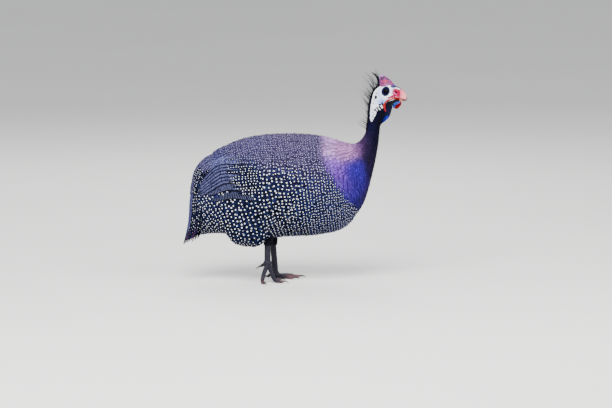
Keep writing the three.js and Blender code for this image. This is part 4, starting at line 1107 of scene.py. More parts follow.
barredQuill = flightMaterial()
for sideName, side in (("Left", 1), ("Right", -1)):
    for tierName, tier in quillTiers.items():
        nodes = ("wing_" + sideName.lower(),) if tierName == "secondaries" else ()
        material = contourFeather if tierName == "greaterCoverts" else barredQuill
        dress(layQuills(sideName, side, tierName, tier), material, "plumage", *nodes)
print("wing quills laid")


# The tail: quills laid like a roof down the rump, with spotted coverts over their roots

tailLook = {
    "line": [(-120, 260.5), (-141, 244.5), (-156.5, 226.5), (-165, 203), (-171, 178.5), (-173.4, 153),
             (-174.2, 127.5), (-178, 102), (-185, 73)],
    "length": 205, "roof": 42, "pairs": 7, "half": 9.6, "spread": 5.2, "layer": 1.5,
    "under": (5, 11, 17),
}


def tailFrame(s):
    line = np.array([(x, 0, z) for x, z in tailLook["line"]], float)
    here = smoothLine(line, s)
    way = unit(smoothLine(line, np.asarray(s) + 0.004) - smoothLine(line, np.asarray(s) - 0.004))
    return here, way, np.stack([-way[..., 2], np.zeros_like(way[..., 0]), way[..., 0]], -1)


def tailVanes(name, vanes, rows, columns, look, material, thick=0.45, nodes=()):
    # vanes holds offset, from, to, half, depth and side for each vane, and may hold gather, blunt and stand.
    count = len(vanes)
    points = np.zeros((count, len(rows), len(columns), 3))
    flats = np.zeros((count, len(rows), len(columns), 3))
    roots = []
    for v, vane in enumerate(vanes):
        q = vane["from"] + (vane["to"] - vane["from"]) * rows
        here, way, inward = tailFrame(q)
        length = (vane["to"] - vane["from"]) * tailLook["length"]
        reach = vane["half"] * vaneOutline(rows, 0.3, vane.get("blunt", 3.2))
        for j, w in enumerate(columns):
            aside = vane["offset"] * (1.15 - 0.4 * rows * vane.get("gather", 1)) + reach * w
            slope = aside / tailLook["roof"]
            depth = vane["depth"] + 0.5 * vane["side"] * w + 0.35 * w * w + vane.get("stand", 0) * rows
            depth = depth + 4.5 * (1 - rows) ** 3
            points[v, :, j] = here + inward * (depth + aside ** 2 / (2 * tailLook["roof"]))[:, None]
            points[v, :, j, 1] += aside
            points[v, :, j] -= way * (0.05 * length * w * w * rows ** 8)[:, None]
            flats[v, :, j, 0], flats[v, :, j, 1] = reach * w, (1 - rows) * length
        flats[v, :, :, 2] = v
        roots.append((math.pi / 2 - vane["offset"] / 60, 6.0 - 4.5 * vane["from"]))
    made = vaneObject(name, points[:, :, ::-1], flats[:, :, ::-1], np.array(roots), look, thick, rows,
                      columns)
    return dress(made, material, "plumage", *nodes)


tailRows = np.concatenate([np.linspace(0, 0.9, 11), [0.95, 0.98, 1.0]])


def makeTailQuills():
    vanes = []
    for i in range(tailLook["pairs"]):
        for side in (-1, 1):
            first = 0.7 if i == 0 and side > 0 else 0  # the middle pair overlaps too
            vanes.append({"offset": side * (2.0 + tailLook["spread"] * i), "from": 0.22,
                          "to": 1 - 0.005 * i - 0.0012 * i * i,
                          "half": tailLook["half"], "depth": 1.4 + tailLook["layer"] * i + first,
                          "side": side})
    # Looser, darker feathers under them
    for i, offset in enumerate(tailLook["under"]):
        for side in (-1, 1):
            vanes.append({"offset": side * offset, "from": 0.5, "to": 0.965 - 0.022 * i, "half": 10.0,
                          "depth": 14 + 3.6 * i, "side": side, "stand": 3.0, "blunt": 4.5})
    count = len(vanes)
    middle = np.array([[abs(vane["offset"]) < 8 and vane["depth"] < 8] for vane in vanes])
    every = np.arange(count)[:, None] % 3 == 1
    tint = np.where(middle, shade("3f4472"), shade("06070e")) * (1 + random.normal(0, 0.08, (count, 1)))
    look = {"tint": tint,
            "spots": np.where(middle, [0.06, 1 / 4.4, 0.72], [0.15, 1 / 6.4, 0.26]),
            "tipTint": np.where(every, shade("3a0f22"), shade("0a0609"))}
    return tailVanes("tailQuills", vanes, tailRows, flightColumns, look, contourFeather, nodes=("tail",))


def makeTailCoverts():
    vanes = []
    for row in range(9):
        number = 6 + row % 2
        late = max(row - 4, 0)
        for i in range(number):
            share = 2 * i / (number - 1) - 1
            start = 0.044 * row + random.normal(0, 0.004)
            end = start + 0.16 + 0.01 * random.random() - 0.02 * share * share
            vanes.append({"offset": share * (31 - 1.0 * row), "from": max(start, 0), "to": end, "half": 7.4,
                          "depth": -0.4 + 1.0 * abs(share) + 0.4 * late, "side": -1 if share < 0 else 1,
                          "gather": 0.4, "blunt": 2.6, "stand": -1.7 + 0.35 * late})
    count = len(vanes)
    outer = np.array([[abs(vane["offset"]) > 16 and vane["from"] > 0.1] for vane in vanes])
    tint = np.where(outer, shade("080914"), shade("2a2c50")) * (1 + random.normal(0, 0.1, (count, 1)))
    look = {"tint": tint, "spots": np.where(outer, [0.135, 1 / 5.6, 0.28], [0.13, 1 / 4.4, 0.7])}
    look = {key: value[::-1] for key, value in look.items()}
    return tailVanes("tailCoverts", vanes[::-1], vaneRows, vaneColumns, look, contourFeather, thick=0.35)


makeTailQuills()
makeTailCoverts()
print("tail laid")


# Crest and the hair-like plumes down the nape

crestLook = {"count": 18, "longest": 31, "shortest": 15, "from": 0.855, "to": 0.62, "hairs": (11, 3),
             "tuft": 22}


def seededDraw(seed):
    state = [seed]

    def draw():
        state[0] = (state[0] * 1664525 + 1013904223) % 4294967296
        return state[0] / 4294967296
    return draw


def makeCrest():
    draw = seededDraw(7)
    rng = np.random.default_rng(21)
    parts, patches = [], []

    def hair(path, thick, sides=4, steps=10, root=0.86):
        taper = lambda s: (thick * (1 - 0.85 * s ** 1.4),) * 2
        parts.append(tubeMesh(path, taper, sides, steps, up=(0, 1, 0)))
        grid = np.arange(len(parts[-1][0]))
        patches.append(np.stack([0.5 + 0.0003 * (grid % 8), root + 0.0002 * (grid // 8)], -1) * 0.98 + 0.01)

    # The dark tuft behind the casque curls over backwards.
    for i in range(crestLook["tuft"]):
        aside, spread = rng.normal(0, 0.9), rng.normal(0, 1.3, (5, 3)) * np.linspace(0.3, 1.5, 5)[:, None]
        path = np.array([(204.5, 0, 389.5), (205.2, 0, 400), (202.6, 0, 409), (197.4, 0, 415.2),
                         (190.6, 0, 418.2)]) + spread
        path[:, 1] += aside
        reach = rng.uniform(0.6, 1.0) if i else 1.0
        hair(smoothLine(path, np.linspace(0, reach, 6)), 0.95 if i < 6 else 0.5, 5)
    # Soft plumes fan up from the nape, each with finer ones beside it.
    for i in range(crestLook["count"]):
        share = i / (crestLook["count"] - 1)
        t = (crestLook["from"] - 0.004) * (1 - share) + (crestLook["to"] + 0.012) * share
        aside = (draw() - 0.5) * 2.6
        length = crestLook["longest"] + (crestLook["shortest"] - crestLook["longest"]) * share ** 0.8
        length = length * (0.85 + 0.25 * draw())
        lift = 98 + (22 - 98) * share ** 0.6 + (draw() - 0.5) * 16
        lean = (draw() - 0.5) * 0.25
        dense = float(ease(share, 0.6, 0.4))
        length *= 1.12 if share < 0.45 else 0.62 if share < 0.8 else 1.1
        most, fewest = crestLook["hairs"]
        for strand in range(int(round(fewest + (most - fewest) * dense))):
            own = t + rng.normal(0, 0.006)
            sink = [0, aside + rng.normal(0, 0.9), -0.5]
            start = bodyPoint(np.array([own * lastSection]), math.pi / 2)[0] + sink
            rise = math.radians(lift + rng.normal(0, 9))
            way = unit(np.array([-math.cos(rise), aside * 0.12 + lean + rng.normal(0, 0.12), math.sin(rise)]))
            curl = np.array([-0.95, 0, -0.1]) if share < 0.35 else np.array([-0.35, 0, 0.55])
            curl = curl * rng.uniform(0.7, 1.25) + rng.normal(0, 0.12, 3)
            reach = length * rng.uniform(0.55, 1.08)
            path = [start + way * reach * s + curl * reach * 0.42 * s * s for s in (0, 0.25, 0.5, 0.75, 1)]
            hair(path, (0.5 + 0.18 * dense) if strand < 2 else 0.2, root=own)
    points, groups = mergeMeshes(parts)
    made = makeObject("crestPlumes", turnHead(points), groups)
    giveUv(made, "OFBake", np.concatenate(patches))
    return made


def plumeMaterial():
    material, tree, shader = newMaterial("crestPlume", Roughness=0.6, Specular_IOR_Level=0.05)
    place = objectPlace(tree)
    streak = addNode(tree, "ShaderNodeTexNoise", {"Vector": place, "Scale": 90.0, "Detail": 3.0})
    tree.links.new(mixOf(tree, streak.outputs[0], rgba("05050a"), rgba("191a26")),
                   shader.inputs["Base Color"])
    giveBump(tree, shader, streak.outputs[0], 0.3, 0.0002)
    return material


crestPlume = plumeMaterial()
dress(makeCrest(), crestPlume, "plumage", "crest")
print("crest made")


# Short bristles down the nape and along the lower edge of the bare face

bristleLook = {"nape": 2600, "napeFrom": 21.3, "napeTo": 30.6, "napeReach": 4.0, "cheek": 9000,
               "cheekReach": 3.2, "thickness": 0.00026, "seed": 5}


def bristleRoots():
    rng = np.random.default_rng(31)
    k = rng.uniform(bristleLook["napeFrom"], bristleLook["napeTo"], bristleLook["nape"])
    a = math.pi / 2 + rng.normal(0, 0.17, len(k))
    begin = ease(k, bristleLook["napeFrom"] - 1, bristleLook["napeFrom"] + 1.5)
    reach = bristleLook["napeReach"] * rng.uniform(0.6, 1.1, len(k)) * begin
    way = unit(chartLook(outerNormal, k, a) + [0, 0, 0.35] + rng.normal(0, 0.16, (len(k), 3)))
    # Cheek bristles start on the face's lower front edge and lie up over it.
    ck = rng.uniform(20.5, 29, bristleLook["cheek"])
    ca = rng.uniform(-1.2, 1.3, len(ck))
    ca = np.where(rng.random(len(ck)) < 0.5, ca, math.pi - ca)
    place = chartLook(outerGrid, ck, ca)
    near = np.full(len(ck), 99.0)
    for start, end in zip(faceLine[1:5], faceLine[2:6]):
        near = np.minimum(near, lineDistance(place[:, 0], place[:, 2], start, end))
    tuft = np.sin(place[:, 2] * 1.5 + 2.0 * np.sin(place[:, 0] * 0.7))
    keep = near < 1.1 + 0.9 * (tuft > 0.3)
    ck, ca = ck[keep], ca[keep]
    normal = chartLook(outerNormal, ck, ca)
    up = np.array([-0.62, 0, 0.78]) + rng.normal(0, 0.12, (len(ck), 3))
    cheekWay = unit(up - normal * dot(up, normal)[:, None] + normal * 0.16)
    k, a = np.concatenate([k, ck]), np.concatenate([a, ca])
    reach = np.concatenate([reach, bristleLook["cheekReach"] * rng.uniform(0.6, 1.1, len(ck))])
    way = np.concatenate([way, cheekWay])
    root = chartLook(outerGrid, k, a) - chartLook(outerNormal, k, a) * 0.4
    tip = turnHead(root + way * reach[:, None])
    return k, a, turnHead(root), (tip - turnHead(root)) / 1000


def bristleTree():
    # Cones on the root points, each turned along its own way and as long as that way.
    tree = bpy.data.node_groups.new("bristles", "GeometryNodeTree")
    for label, kind in (("Roots", "Geometry"), ("Thickness", "Float"), ("Seed", "Int"),
                        ("Material", "Material")):
        tree.interface.new_socket(name=label, in_out="INPUT", socket_type="NodeSocket" + kind)
    tree.interface.new_socket(name="Bristles", in_out="OUTPUT", socket_type="NodeSocketGeometry")
    start, end = tree.nodes.new("NodeGroupInput"), tree.nodes.new("NodeGroupOutput")
    cone = addNode(tree, "GeometryNodeMeshCone",
                   {"Vertices": 4, "Side Segments": 2, "Radius Top": 0.12, "Radius Bottom": 1.0,
                    "Depth": 1.0})
    way = addNode(tree, "GeometryNodeInputNamedAttribute", data_type="FLOAT_VECTOR")
    way.inputs["Name"].default_value = "way"
    reach = addNode(tree, "ShaderNodeVectorMath", {0: way.outputs[0]}, operation="LENGTH").outputs["Value"]
    turn = addNode(tree, "FunctionNodeAlignRotationToVector", {"Vector": way.outputs[0]}, axis="Z")
    varied = addNode(tree, "FunctionNodeRandomValue", {2: 0.75, 3: 1.25, "Seed": start.outputs["Seed"]},
                     data_type="FLOAT").outputs[1]
    thick = mathOf(tree, "MULTIPLY", start.outputs["Thickness"], varied)
    size = addNode(tree, "ShaderNodeCombineXYZ", {0: thick, 1: thick, 2: reach})
    placed = addNode(tree, "GeometryNodeInstanceOnPoints",
                     {"Points": start.outputs["Roots"], "Instance": cone.outputs["Mesh"],
                      "Rotation": turn.outputs[0], "Scale": size.outputs[0]})
    real = addNode(tree, "GeometryNodeRealizeInstances", {"Geometry": placed.outputs[0]})
    made = addNode(tree, "GeometryNodeSetMaterial",
                   {"Geometry": real.outputs[0], "Material": start.outputs["Material"]})
    tree.links.new(made.outputs[0], end.inputs[0])
    return tree


def makeBristles():
    k, a, roots, way = bristleRoots()
    mesh = bpy.data.meshes.new("bristles")
    mesh.from_pydata(toFrame(roots).tolist(), [], [])
    made = bpy.data.objects.new("bristles", mesh)
    scene.collection.objects.link(made)
    giveVector(made, "way", way)
    tree = bristleTree()
    modifier = made.modifiers.new("bristles", "NODES")
    modifier.node_group = tree
    given = {"Thickness": bristleLook["thickness"], "Seed": bristleLook["seed"], "Material": crestPlume}
    for item in tree.interface.items_tree:
        if item.in_out == "INPUT" and item.name in given:
            modifier[item.identifier] = given[item.name]
    finishModifiers(made)
    per = len(made.data.vertices) // len(k)
    grid = np.arange(len(k) * per) % per
    place = np.repeat(unwrapPlace(k, a), per, axis=0)
    giveUv(made, "OFBake", place + np.stack([(grid % 4) * 0.0007, (grid // 4) * 0.0007], -1))
    return made


dress(makeBristles(), crestPlume, "plumage")
print("bristles made")


# Casque, bill, wattles and eyes

casqueLevels = [(385, 209.8, 248.5, 8.6), (387, 209.6, 247, 8.4), (393, 209.4, 240.5, 8),
                (398, 209.2, 236, 7.4), (402, 209.1, 232.4, 6.7),
                (406, 209.1, 227.2, 5.7), (409.5, 209.6, 222, 4.4), (412, 210.8, 218, 2.7),
                (413.3, 212.4, 215.2, 0.9)]
upperBillLevels = [(254.2, 384.9, 364.6, 8.5), (255.35, 384.4, 364.9, 8.2), (259, 381.6, 364.4, 7.1),
                   (262, 378.2, 364, 5.7), (264.7, 374.2, 363.6, 4.5),
                   (266.6, 369.8, 363, 3.1), (267.8, 366.6, 362.4, 1.9), (268.3, 364.8, 362, 0.8)]
lowerBillLevels = [(253.6, 364.5, 359, 7.4), (255.35, 364.3, 359, 7.2), (259, 363.8, 359.2, 5.8),
                   (262, 363.4, 359.6, 4.6), (264.4, 362.9, 360, 3.2),
                   (266.2, 362.4, 360.6, 1.7)]


casqueLine = np.array([level[:2] for level in casqueLevels])
casqueTints = [(223, 400.5, 7, 3.6, "961a44"), (235, 397, 6, 4, "7c3068"), (217.5, 406.5, 4.4, 5, "2a0630"),
               (216, 411.8, 5, 2.0, "9663a4"),
               (219, 393.3, 12, 2.0, "8a4a7e"), (227, 405, 4, 3.4, "481046"),
               (229.5, 398.5, 2.4, 2, "44103a"), (218, 397.5, 2.6, 2, "4a1444"),
               (245.5, 391.5, 7.5, 5.2, "262c5a")]


def makeCasque():
    levels = smoothLine(casqueLevels, np.linspace(0, 1, 34))
    a = np.linspace(0, 2 * math.pi, 48, endpoint=False)
    z, back, front, half = (levels[:, i][:, None] for i in range(4))
    keel = 0.35 * np.exp(-((np.cos(a) - 1) / 0.02) ** 2)
    hollow = 0.5 * np.exp(-((np.cos(a) - 0.45) / 0.3) ** 2) * ease(z, 388, 400) * ease(z, 412, 402)
    x = (back + front) / 2 + (front - back) / 2 * np.cos(a)
    y = half * np.sin(a) * (1 - 0.25 * np.cos(a))
    y = y + (keel - hollow) * np.sign(np.sin(a)) * (np.abs(np.sin(a)) > 0.2)
    rings = np.stack([x, y, np.broadcast_to(z, x.shape)], -1)
    points, groups = loftMesh(rings)
    made = makeObject("casqueHorn", turnHead(points), groups)
    x, y, z = points.T
    colour = np.tile(shade("6f2362"), (len(points), 1))
    for cx, cz, rx, rz, tint in casqueTints:
        mask = ease(np.hypot((x - cx) / rx, (z - cz) / rz), 1.2, 0.5)[:, None]
        colour = colour * (1 - mask) + shade(tint) * mask
    pale = (ease(x - np.interp(z, casqueLine[:, 0], casqueLine[:, 1]), 3.2, 1.4)
            * ease(z, 390, 396))[:, None] * 0.8
    giveColour(made, "hornTint", colour * (1 - pale) + shade("9a6cab") * pale)
    return outward(made)


billTints = {"x": [254, 257.5, 262, 265.8, 267.6],
             "upper": ["b01048", "c8406a", "d8707e", "dc9690", "3a3040"],
             "lower": ["a03028", "c88a70", "5c3828", "35241f", "241c1e"]}


def makeBill(name, levels, upper):
    levels = smoothLine(levels, np.linspace(0, 1, 28))
    a = np.linspace(0, 2 * math.pi, 36, endpoint=False)
    x, top, bottom, half = (levels[:, i][:, None] for i in range(4))
    arch = np.sin(a) if upper else -np.sin(a)
    mouth, ridge = (bottom, top) if upper else (top, bottom)
    rise = (np.where(arch > 0, arch, 0.08 * arch) + 0.08) / 1.08
    y = half * np.cos(a) * np.where(arch > 0, 1, 0.93) * (1 - 0.12 * np.maximum(arch, 0) ** 2)
    rings = np.stack([np.broadcast_to(x, y.shape), y, mouth + (ridge - mouth) * rise], -1)
    points, groups = loftMesh(rings)
    made = makeObject(name, turnHead(points), groups)
    x = points[:, 0]
    tints = np.array([shade(tint) for tint in billTints["upper" if upper else "lower"]])
    colour = np.stack([np.interp(x, billTints["x"], tints[:, i]) for i in range(3)], -1)
    giveColour(made, "hornTint", colour)
    return outward(made)


wattleLook = {
    "right": {"path": [(243, -9.2, 365.8), (237, -10.8, 364.4), (230.5, -13.2, 361.6), (226.8, -15.2, 356),
                       (226.8, -16.6, 348.5), (228.8, -17.2, 341.6)],
              "half": 5.4, "thick": 3.3, "across": (0.02, -1, 0)},
    "left": {"path": [(241.5, 8, 365), (240.5, 12, 360), (238.5, 15, 353), (236, 16.5, 344)], "half": 13.4,
             "thick": 2.6, "across": (0.95, -0.25, 0.25)},
}


def makeWattle(name, path, half, thick, across):
    steps, sides = 44, 40
    s = np.linspace(0, 1, steps)
    centre = smoothLine(path, s)
    along = unit(np.gradient(centre, axis=0))
    wide = np.asarray(across, float) - along * dot(along, np.asarray(across, float))[:, None]
    wide = unit(wide)
    flat = np.cross(along, wide)
    reach = half * np.sqrt(np.maximum(0.02, np.sin(math.pi * (0.14 + 0.845 * s)))) * (0.75 + 0.25 * s)
    depth = thick * (1 - 0.25 * s) * np.minimum(1, np.sqrt((1.03 - s) * 5))
    a = np.linspace(0, 2 * math.pi, sides, endpoint=False)[None]
    rim = np.abs(np.cos(a))
    body = depth[:, None] * 0.5 * np.sin(a) * (0.75 + 0.45 * rim ** 4)
    folds = 0.35 * np.sin(s[:, None] * 17 + 2.2 * np.cos(a)) * ease(s, 0.05, 0.3)[:, None]
    cup = 1.4 * np.cos(a) ** 2 * s[:, None]
    rings = centre[:, None] + wide[:, None] * (reach[:, None] * np.cos(a))[..., None]
    rings = rings + flat[:, None] * (body + cup + folds)[..., None]
    points, groups = loftMesh(rings)
    made = makeObject(name, turnHead(points), groups)
    fold = np.stack(np.broadcast_arrays(s[:, None], np.cos(a), body), -1).reshape(-1, 3)
    giveVector(made, "fold", np.concatenate([fold, [[0, 0, 0], [1, 0, 0]]]))
    return outward(made)


def hornMaterial(name, deep, edge, roughness, pale=None):
    # Without a pale colour the ground comes from the piece's own attribute.
    material, tree, shader = newMaterial(name, Specular_IOR_Level=0.25, Coat_Weight=0.04,
                                         Subsurface_Weight=0.08, Subsurface_Scale=0.002)
    place = objectPlace(tree)
    drawnOut = addNode(tree, "ShaderNodeMapping", {"Vector": place, "Scale": (1.0, 1.0, 2.4)}).outputs[0]
    grain = addNode(tree, "ShaderNodeTexNoise",
                    {"Vector": drawnOut, "Scale": 170.0, "Detail": 6.0, "Roughness": 0.6})
    blotch = addNode(tree, "ShaderNodeTexNoise", {"Vector": place, "Scale": 75.0, "Detail": 2.0})
    pits = addNode(tree, "ShaderNodeTexVoronoi", {"Vector": place, "Scale": 900.0})
    ground = rgba(pale) if pale else readColour(tree, "hornTint")
    colour = mixOf(tree, softStep(tree, blotch.outputs[0], 0.35, 0.65, top=1.0 if pale else 0.45), ground,
                   rgba(deep))
    colour = mixOf(tree, softStep(tree, grain.outputs[0], 0.52, 0.75, top=0.6 if pale else 0.35), colour,
                   rgba(edge))
    tree.links.new(colour, shader.inputs["Base Color"])
    height = mathOf(tree, "MULTIPLY_ADD", pits.outputs["Distance"], 0.3, grain.outputs[0])
    giveBump(tree, shader, height, 0.5, 0.0007)
    tree.links.new(mathOf(tree, "MULTIPLY_ADD", grain.outputs[0], 0.25, roughness),
                   shader.inputs["Roughness"])
    return material


def wattleMaterial(name, root, tip):
    material, tree, shader = newMaterial(name, Roughness=0.5, Subsurface_Weight=0.12, Subsurface_Scale=0.002,
                                         Specular_IOR_Level=0.2)
    fold = splitVector(tree, readVector(tree, "fold"))
    place = objectPlace(tree)
    grain = addNode(tree, "ShaderNodeTexNoise", {"Vector": place, "Scale": 420.0, "Detail": 5.0})
    drift = mathOf(tree, "MULTIPLY_ADD", grain.outputs[0], 0.2,
                   mathOf(tree, "MULTIPLY_ADD", fold[1], 0.5, fold[0]))
    colour = mixOf(tree, softStep(tree, drift, 0.78, 0.92), rgba(root), rgba(tip))
    colour = mixOf(tree, softStep(tree, grain.outputs[0], 0.5, 0.7, top=0.4), colour, rgba("6d0d1c"))
    tree.links.new(colour, shader.inputs["Base Color"])
    giveBump(tree, shader, grain.outputs[0], 0.5, 0.0006)
    return material


def makeEye(side):
    rings, sides = 44, 64
    # The ball's pole looks out sideways, so rings of colour lie round it.
    t = np.linspace(0.0, math.pi, rings)[1:-1]
    a = np.linspace(0, 2 * math.pi, sides, endpoint=False)
    r = eyeBall["radius"]
    swell = 1 + 0.035 * np.exp(-(t / 0.5) ** 2)
    x = eyeBall["x"] + r * np.sin(t)[:, None] * np.cos(a)
    z = eyeBall["z"] + r * np.sin(t)[:, None] * np.sin(a)
    y = np.broadcast_to(side * (eyeBall["side"] + (r * swell * np.cos(t))[:, None]), x.shape)
    points, groups = loftMesh(np.stack([x, y, z], -1))
    made = makeObject("eyeBall_" + ("left" if side > 0 else "right"), turnHead(points), groups)
    distance = np.hypot(points[:, 0] - eyeBall["x"], points[:, 2] - eyeBall["z"])
    giveVector(made, "iris", np.stack([distance, np.zeros(len(distance)), np.zeros(len(distance))], -1))
    return outward(made)


def eyeMaterial():
    material, tree, shader = newMaterial("wetEye", Roughness=0.06, Coat_Weight=0.0, Coat_Roughness=0.03,
                                         Specular_IOR_Level=0.05)
    fromMiddle = splitVector(tree, readVector(tree, "iris"))[0]
    place = objectPlace(tree)
    streak = addNode(tree, "ShaderNodeTexNoise", {"Vector": place, "Scale": 1400.0, "Detail": 3.0})
    iris = mixOf(tree, streak.outputs[0], rgba("060304"), rgba("120a12"))
    colour = mixOf(tree, softStep(tree, fromMiddle, 3.5, 3.8), rgba("020203"), iris)
    colour = mixOf(tree, softStep(tree, fromMiddle, 4.6, 5.2), colour, rgba("05060d"))
    tree.links.new(colour, shader.inputs["Base Color"])
    return material


casqueHorn = hornMaterial("casqueSkin", "5f1747", "c98ab4", 0.5)
upperBillHorn = hornMaterial("billHorn", "d9707f", "f4d6c8", 0.4)
lowerBillHorn = hornMaterial("lowerBillHorn", "6b4a44", "5d443c", 0.35)
nearWattleSkin = wattleMaterial("nearWattleSkin", "9c0012", "8a000a")
farWattleSkin = wattleMaterial("farWattleSkin", "2f74e8", "8e0610")
wetEye = eyeMaterial()
dress(makeCasque(), casqueHorn, "horn", "casque")
dress(makeBill("upperBill", upperBillLevels, True), upperBillHorn, "bill", "bill_upper")
dress(makeBill("lowerBill", lowerBillLevels, False), lowerBillHorn, "bill", "bill_lower")
dress(makeWattle("nearWattle", **wattleLook["right"]), nearWattleSkin, "wattle", "wattle_right")
dress(makeWattle("farWattle", **wattleLook["left"]), farWattleSkin, "wattle", "wattle_left")
for side in (-1, 1):
    dress(makeEye(side), wetEye, "eye", "eye_left" if side > 0 else "eye_right")
print("head pieces made")


# Scaly legs and their claws

legLook = {"hock": 7.8, "middle": 5.8, "foot": 6.0, "scutes": 15, "raised": 0.5, "toeRoot": 4.5,
           "toeTip": 3.3, "toeScutes": 11, "voxel": 0.0006}


def plateStep(s, count):
    # The rise of overlapping plates: each swells towards its lower edge and drops off.
    f = (s * count) % 1
    return f ** 1.6 * (1 - ease(f, 0.88, 1.0))


def makeLeg(name, leg):
    top = np.array(leg["hock"], float) + [0, 0, 5]
    pad = np.array(leg["pad"], float)

    def shankRadii(s):
        knob = legLook["hock"] + (legLook["middle"] - legLook["hock"]) * ease(s, 0, 0.28)
        r = knob + (legLook["foot"] - knob) * ease(s, 0.6, 1)
        return r * 0.92, r * 1.04

    def shankRelief(s, a):
        front = ease(np.sin(a), 0.15, 0.45)
        half = np.where(np.cos(a) > 0, 0.0, 0.5 / legLook["scutes"])
        seam = 1 - ease(np.abs(np.cos(a)), 0.16, 0.04)
        return legLook["raised"] * plateStep(s + half, legLook["scutes"]) * front * seam

    parts = [tubeMesh([top, leg["hock"], pad + [0, 0, 2]], shankRadii, 48, 190, up=(1, 0, 0),
                      relief=shankRelief)]
    u, v = np.meshgrid(np.linspace(0, 2 * math.pi, 28, endpoint=False), np.linspace(0, math.pi, 18)[1:-1])
    ball = np.stack([np.sin(v) * np.cos(u) * 8.6, np.sin(v) * np.sin(u) * 7.4, np.cos(v) * 8.6], -1) + pad
    parts.append(loftMesh(ball))
    for toeName, path in leg["toes"].items():
        small = 0.8 if toeName == "hind" else 1.0

        def toeRadii(s, small=small):
            r = (legLook["toeRoot"] + (legLook["toeTip"] - legLook["toeRoot"]) * s) * small
            r = r * np.minimum(1, np.sqrt(np.maximum(1.02 - s, 0.0) * 9))
            return r, r * 0.96

        def toeRelief(s, a, small=small):
            above = ease(np.sin(a), 0.0, 0.35)
            under = ease(-np.sin(a), 0.1, 0.5) * 0.55 * np.abs(np.sin(math.pi * 3 * s))
            count = round(legLook["toeScutes"] * (0.5 if small < 1 else 1))
            return 0.42 * plateStep(s, count) * above + under * ease(s, 1.0, 0.9)

        parts.append(tubeMesh(path, toeRadii, 32, 110, relief=toeRelief))
    points, groups = mergeMeshes(parts)
    made = outward(makeObject(name, points, groups))
    remesh = made.modifiers.new("oneSkin", "REMESH")
    remesh.mode, remesh.voxel_size = "VOXEL", legLook["voxel"]
    finishModifiers(made)
    place = np.empty(len(made.data.vertices) * 3, np.float32)
    made.data.vertices.foreach_get("co", place)
    place = place.reshape(-1, 3)
    place[:, 2] = np.maximum(place[:, 2], 0.0)
    made.data.vertices.foreach_set("co", place.ravel())
    made.data.update()
    made.data.polygons.foreach_set("use_smooth", np.ones(len(made.data.polygons), bool))
    drawn = place * 1000 + [drawingShift, 0, 0]
    out = np.linalg.norm((drawn - pad)[:, :2], axis=1) * (drawn[:, 2] < pad[2] + 10)
    slate, pale, hockTint = shade("181624"), shade("8a5a62"), shade("0e0b14")
    share = ease(out, 16, 52)[:, None] * 0.75
    tint = slate * (1 - share) + pale * share
    high = ease(drawn[:, 2], pad[2] + 30, leg["hock"][2])[:, None]
    giveColour(made, "skinTint", tint * (1 - high) + hockTint * high)
    return made


def legMaterial():
    material, tree, shader = newMaterial("scalySkin", Roughness=0.5, Specular_IOR_Level=0.2)
    tint = readColour(tree, "skinTint")
    place = objectPlace(tree)
    scale = addNode(tree, "ShaderNodeTexVoronoi", {"Vector": place, "Scale": 620.0},
                    feature="DISTANCE_TO_EDGE")
    dust = addNode(tree, "ShaderNodeTexNoise", {"Vector": place, "Scale": 260.0, "Detail": 5.0})
    plate = softStep(tree, scale.outputs["Distance"], 0.0, 0.14)
    colour = mixOf(tree, 1.0, tint, mathOf(tree, "MULTIPLY_ADD", plate, 0.45, 0.6), "MULTIPLY")
    colour = mixOf(tree, softStep(tree, dust.outputs[0], 0.5, 0.72, top=0.2), colour, rgba("4a465e"))
    tree.links.new(colour, shader.inputs["Base Color"])
    giveBump(tree, shader, mathOf(tree, "MULTIPLY_ADD", dust.outputs[0], 0.4, plate), 0.5, 0.0004)
    return material


shinLook = {"rows": 14, "ring": 13, "length": 15, "half": 4.2, "end": 66, "tint": "0b0a14"}


def shinVanes(name, leg):
    # Small dark feathers down the shin and over the hock.
    rng = np.random.default_rng(11 + leg["side"])
    knee, hock = shinLine(leg)
    axis = np.array([knee, (knee + hock) / 2, hock, hock + [1, 0, shinLook["end"] - hock[2]]])
    rowOf, placeOf = np.meshgrid(np.arange(shinLook["rows"]), np.arange(shinLook["ring"]), indexing="ij")
    row, place = rowOf.ravel(), placeOf.ravel()
    count = len(row)
    start = 0.12 + 0.62 * row / (shinLook["rows"] - 1) + rng.normal(0, 0.006, count)
    around = (place + 0.5 * (row % 2)) / shinLook["ring"] * 2 * math.pi + rng.normal(0, 0.06, count)
    length = shinLook["length"] * (1 - 0.35 * start) * rng.uniform(0.9, 1.1, count)
    total = np.linalg.norm(np.diff(axis, axis=0), axis=1).sum()
    tint = np.clip(shade(shinLook["tint"])[None] * (1 + rng.normal(0, 0.2, (count, 1))), 0, 1)
    rows, columns = vaneRows, np.array([-1, 0, 1])
    points, flats = np.zeros((count, len(rows), 3, 3)), np.zeros((count, len(rows), 3, 3))
    for i, s in enumerate(rows):
        here = smoothLine(axis, start + s * length / total)
        girth = np.interp(start + s * length / total, [0, 0.5, 0.8, 1], [16, 11, 9.2, 8.2]) - 1.4 + 2.0 * s
        reach = shinLook["half"] * vaneOutline(s, 0.2, 2.6)
        for j, w in enumerate(columns):
            turn = around + w * reach / girth
            outwards = np.stack([np.cos(turn) * girth * 0.95, np.sin(turn) * girth, np.zeros(count)], -1)
            points[:, i, j] = here + outwards
            flats[:, i, j, 0], flats[:, i, j, 1] = w * reach, (1 - s) * length
        flats[:, i, :, 2] = np.arange(count)[:, None]
    look = {"tint": tint, "spots": np.tile([0.0, 0.2, 0.0], (count, 1))}
    roots = np.stack([np.full(count, -math.pi / 2 + 0.9 * leg["side"]), 9 + start], -1)
    return dress(vaneObject(name, points[:, :, ::-1], flats[:, :, ::-1], roots, look, 0.3, rows, columns),
                 plainFeather, "plumage")


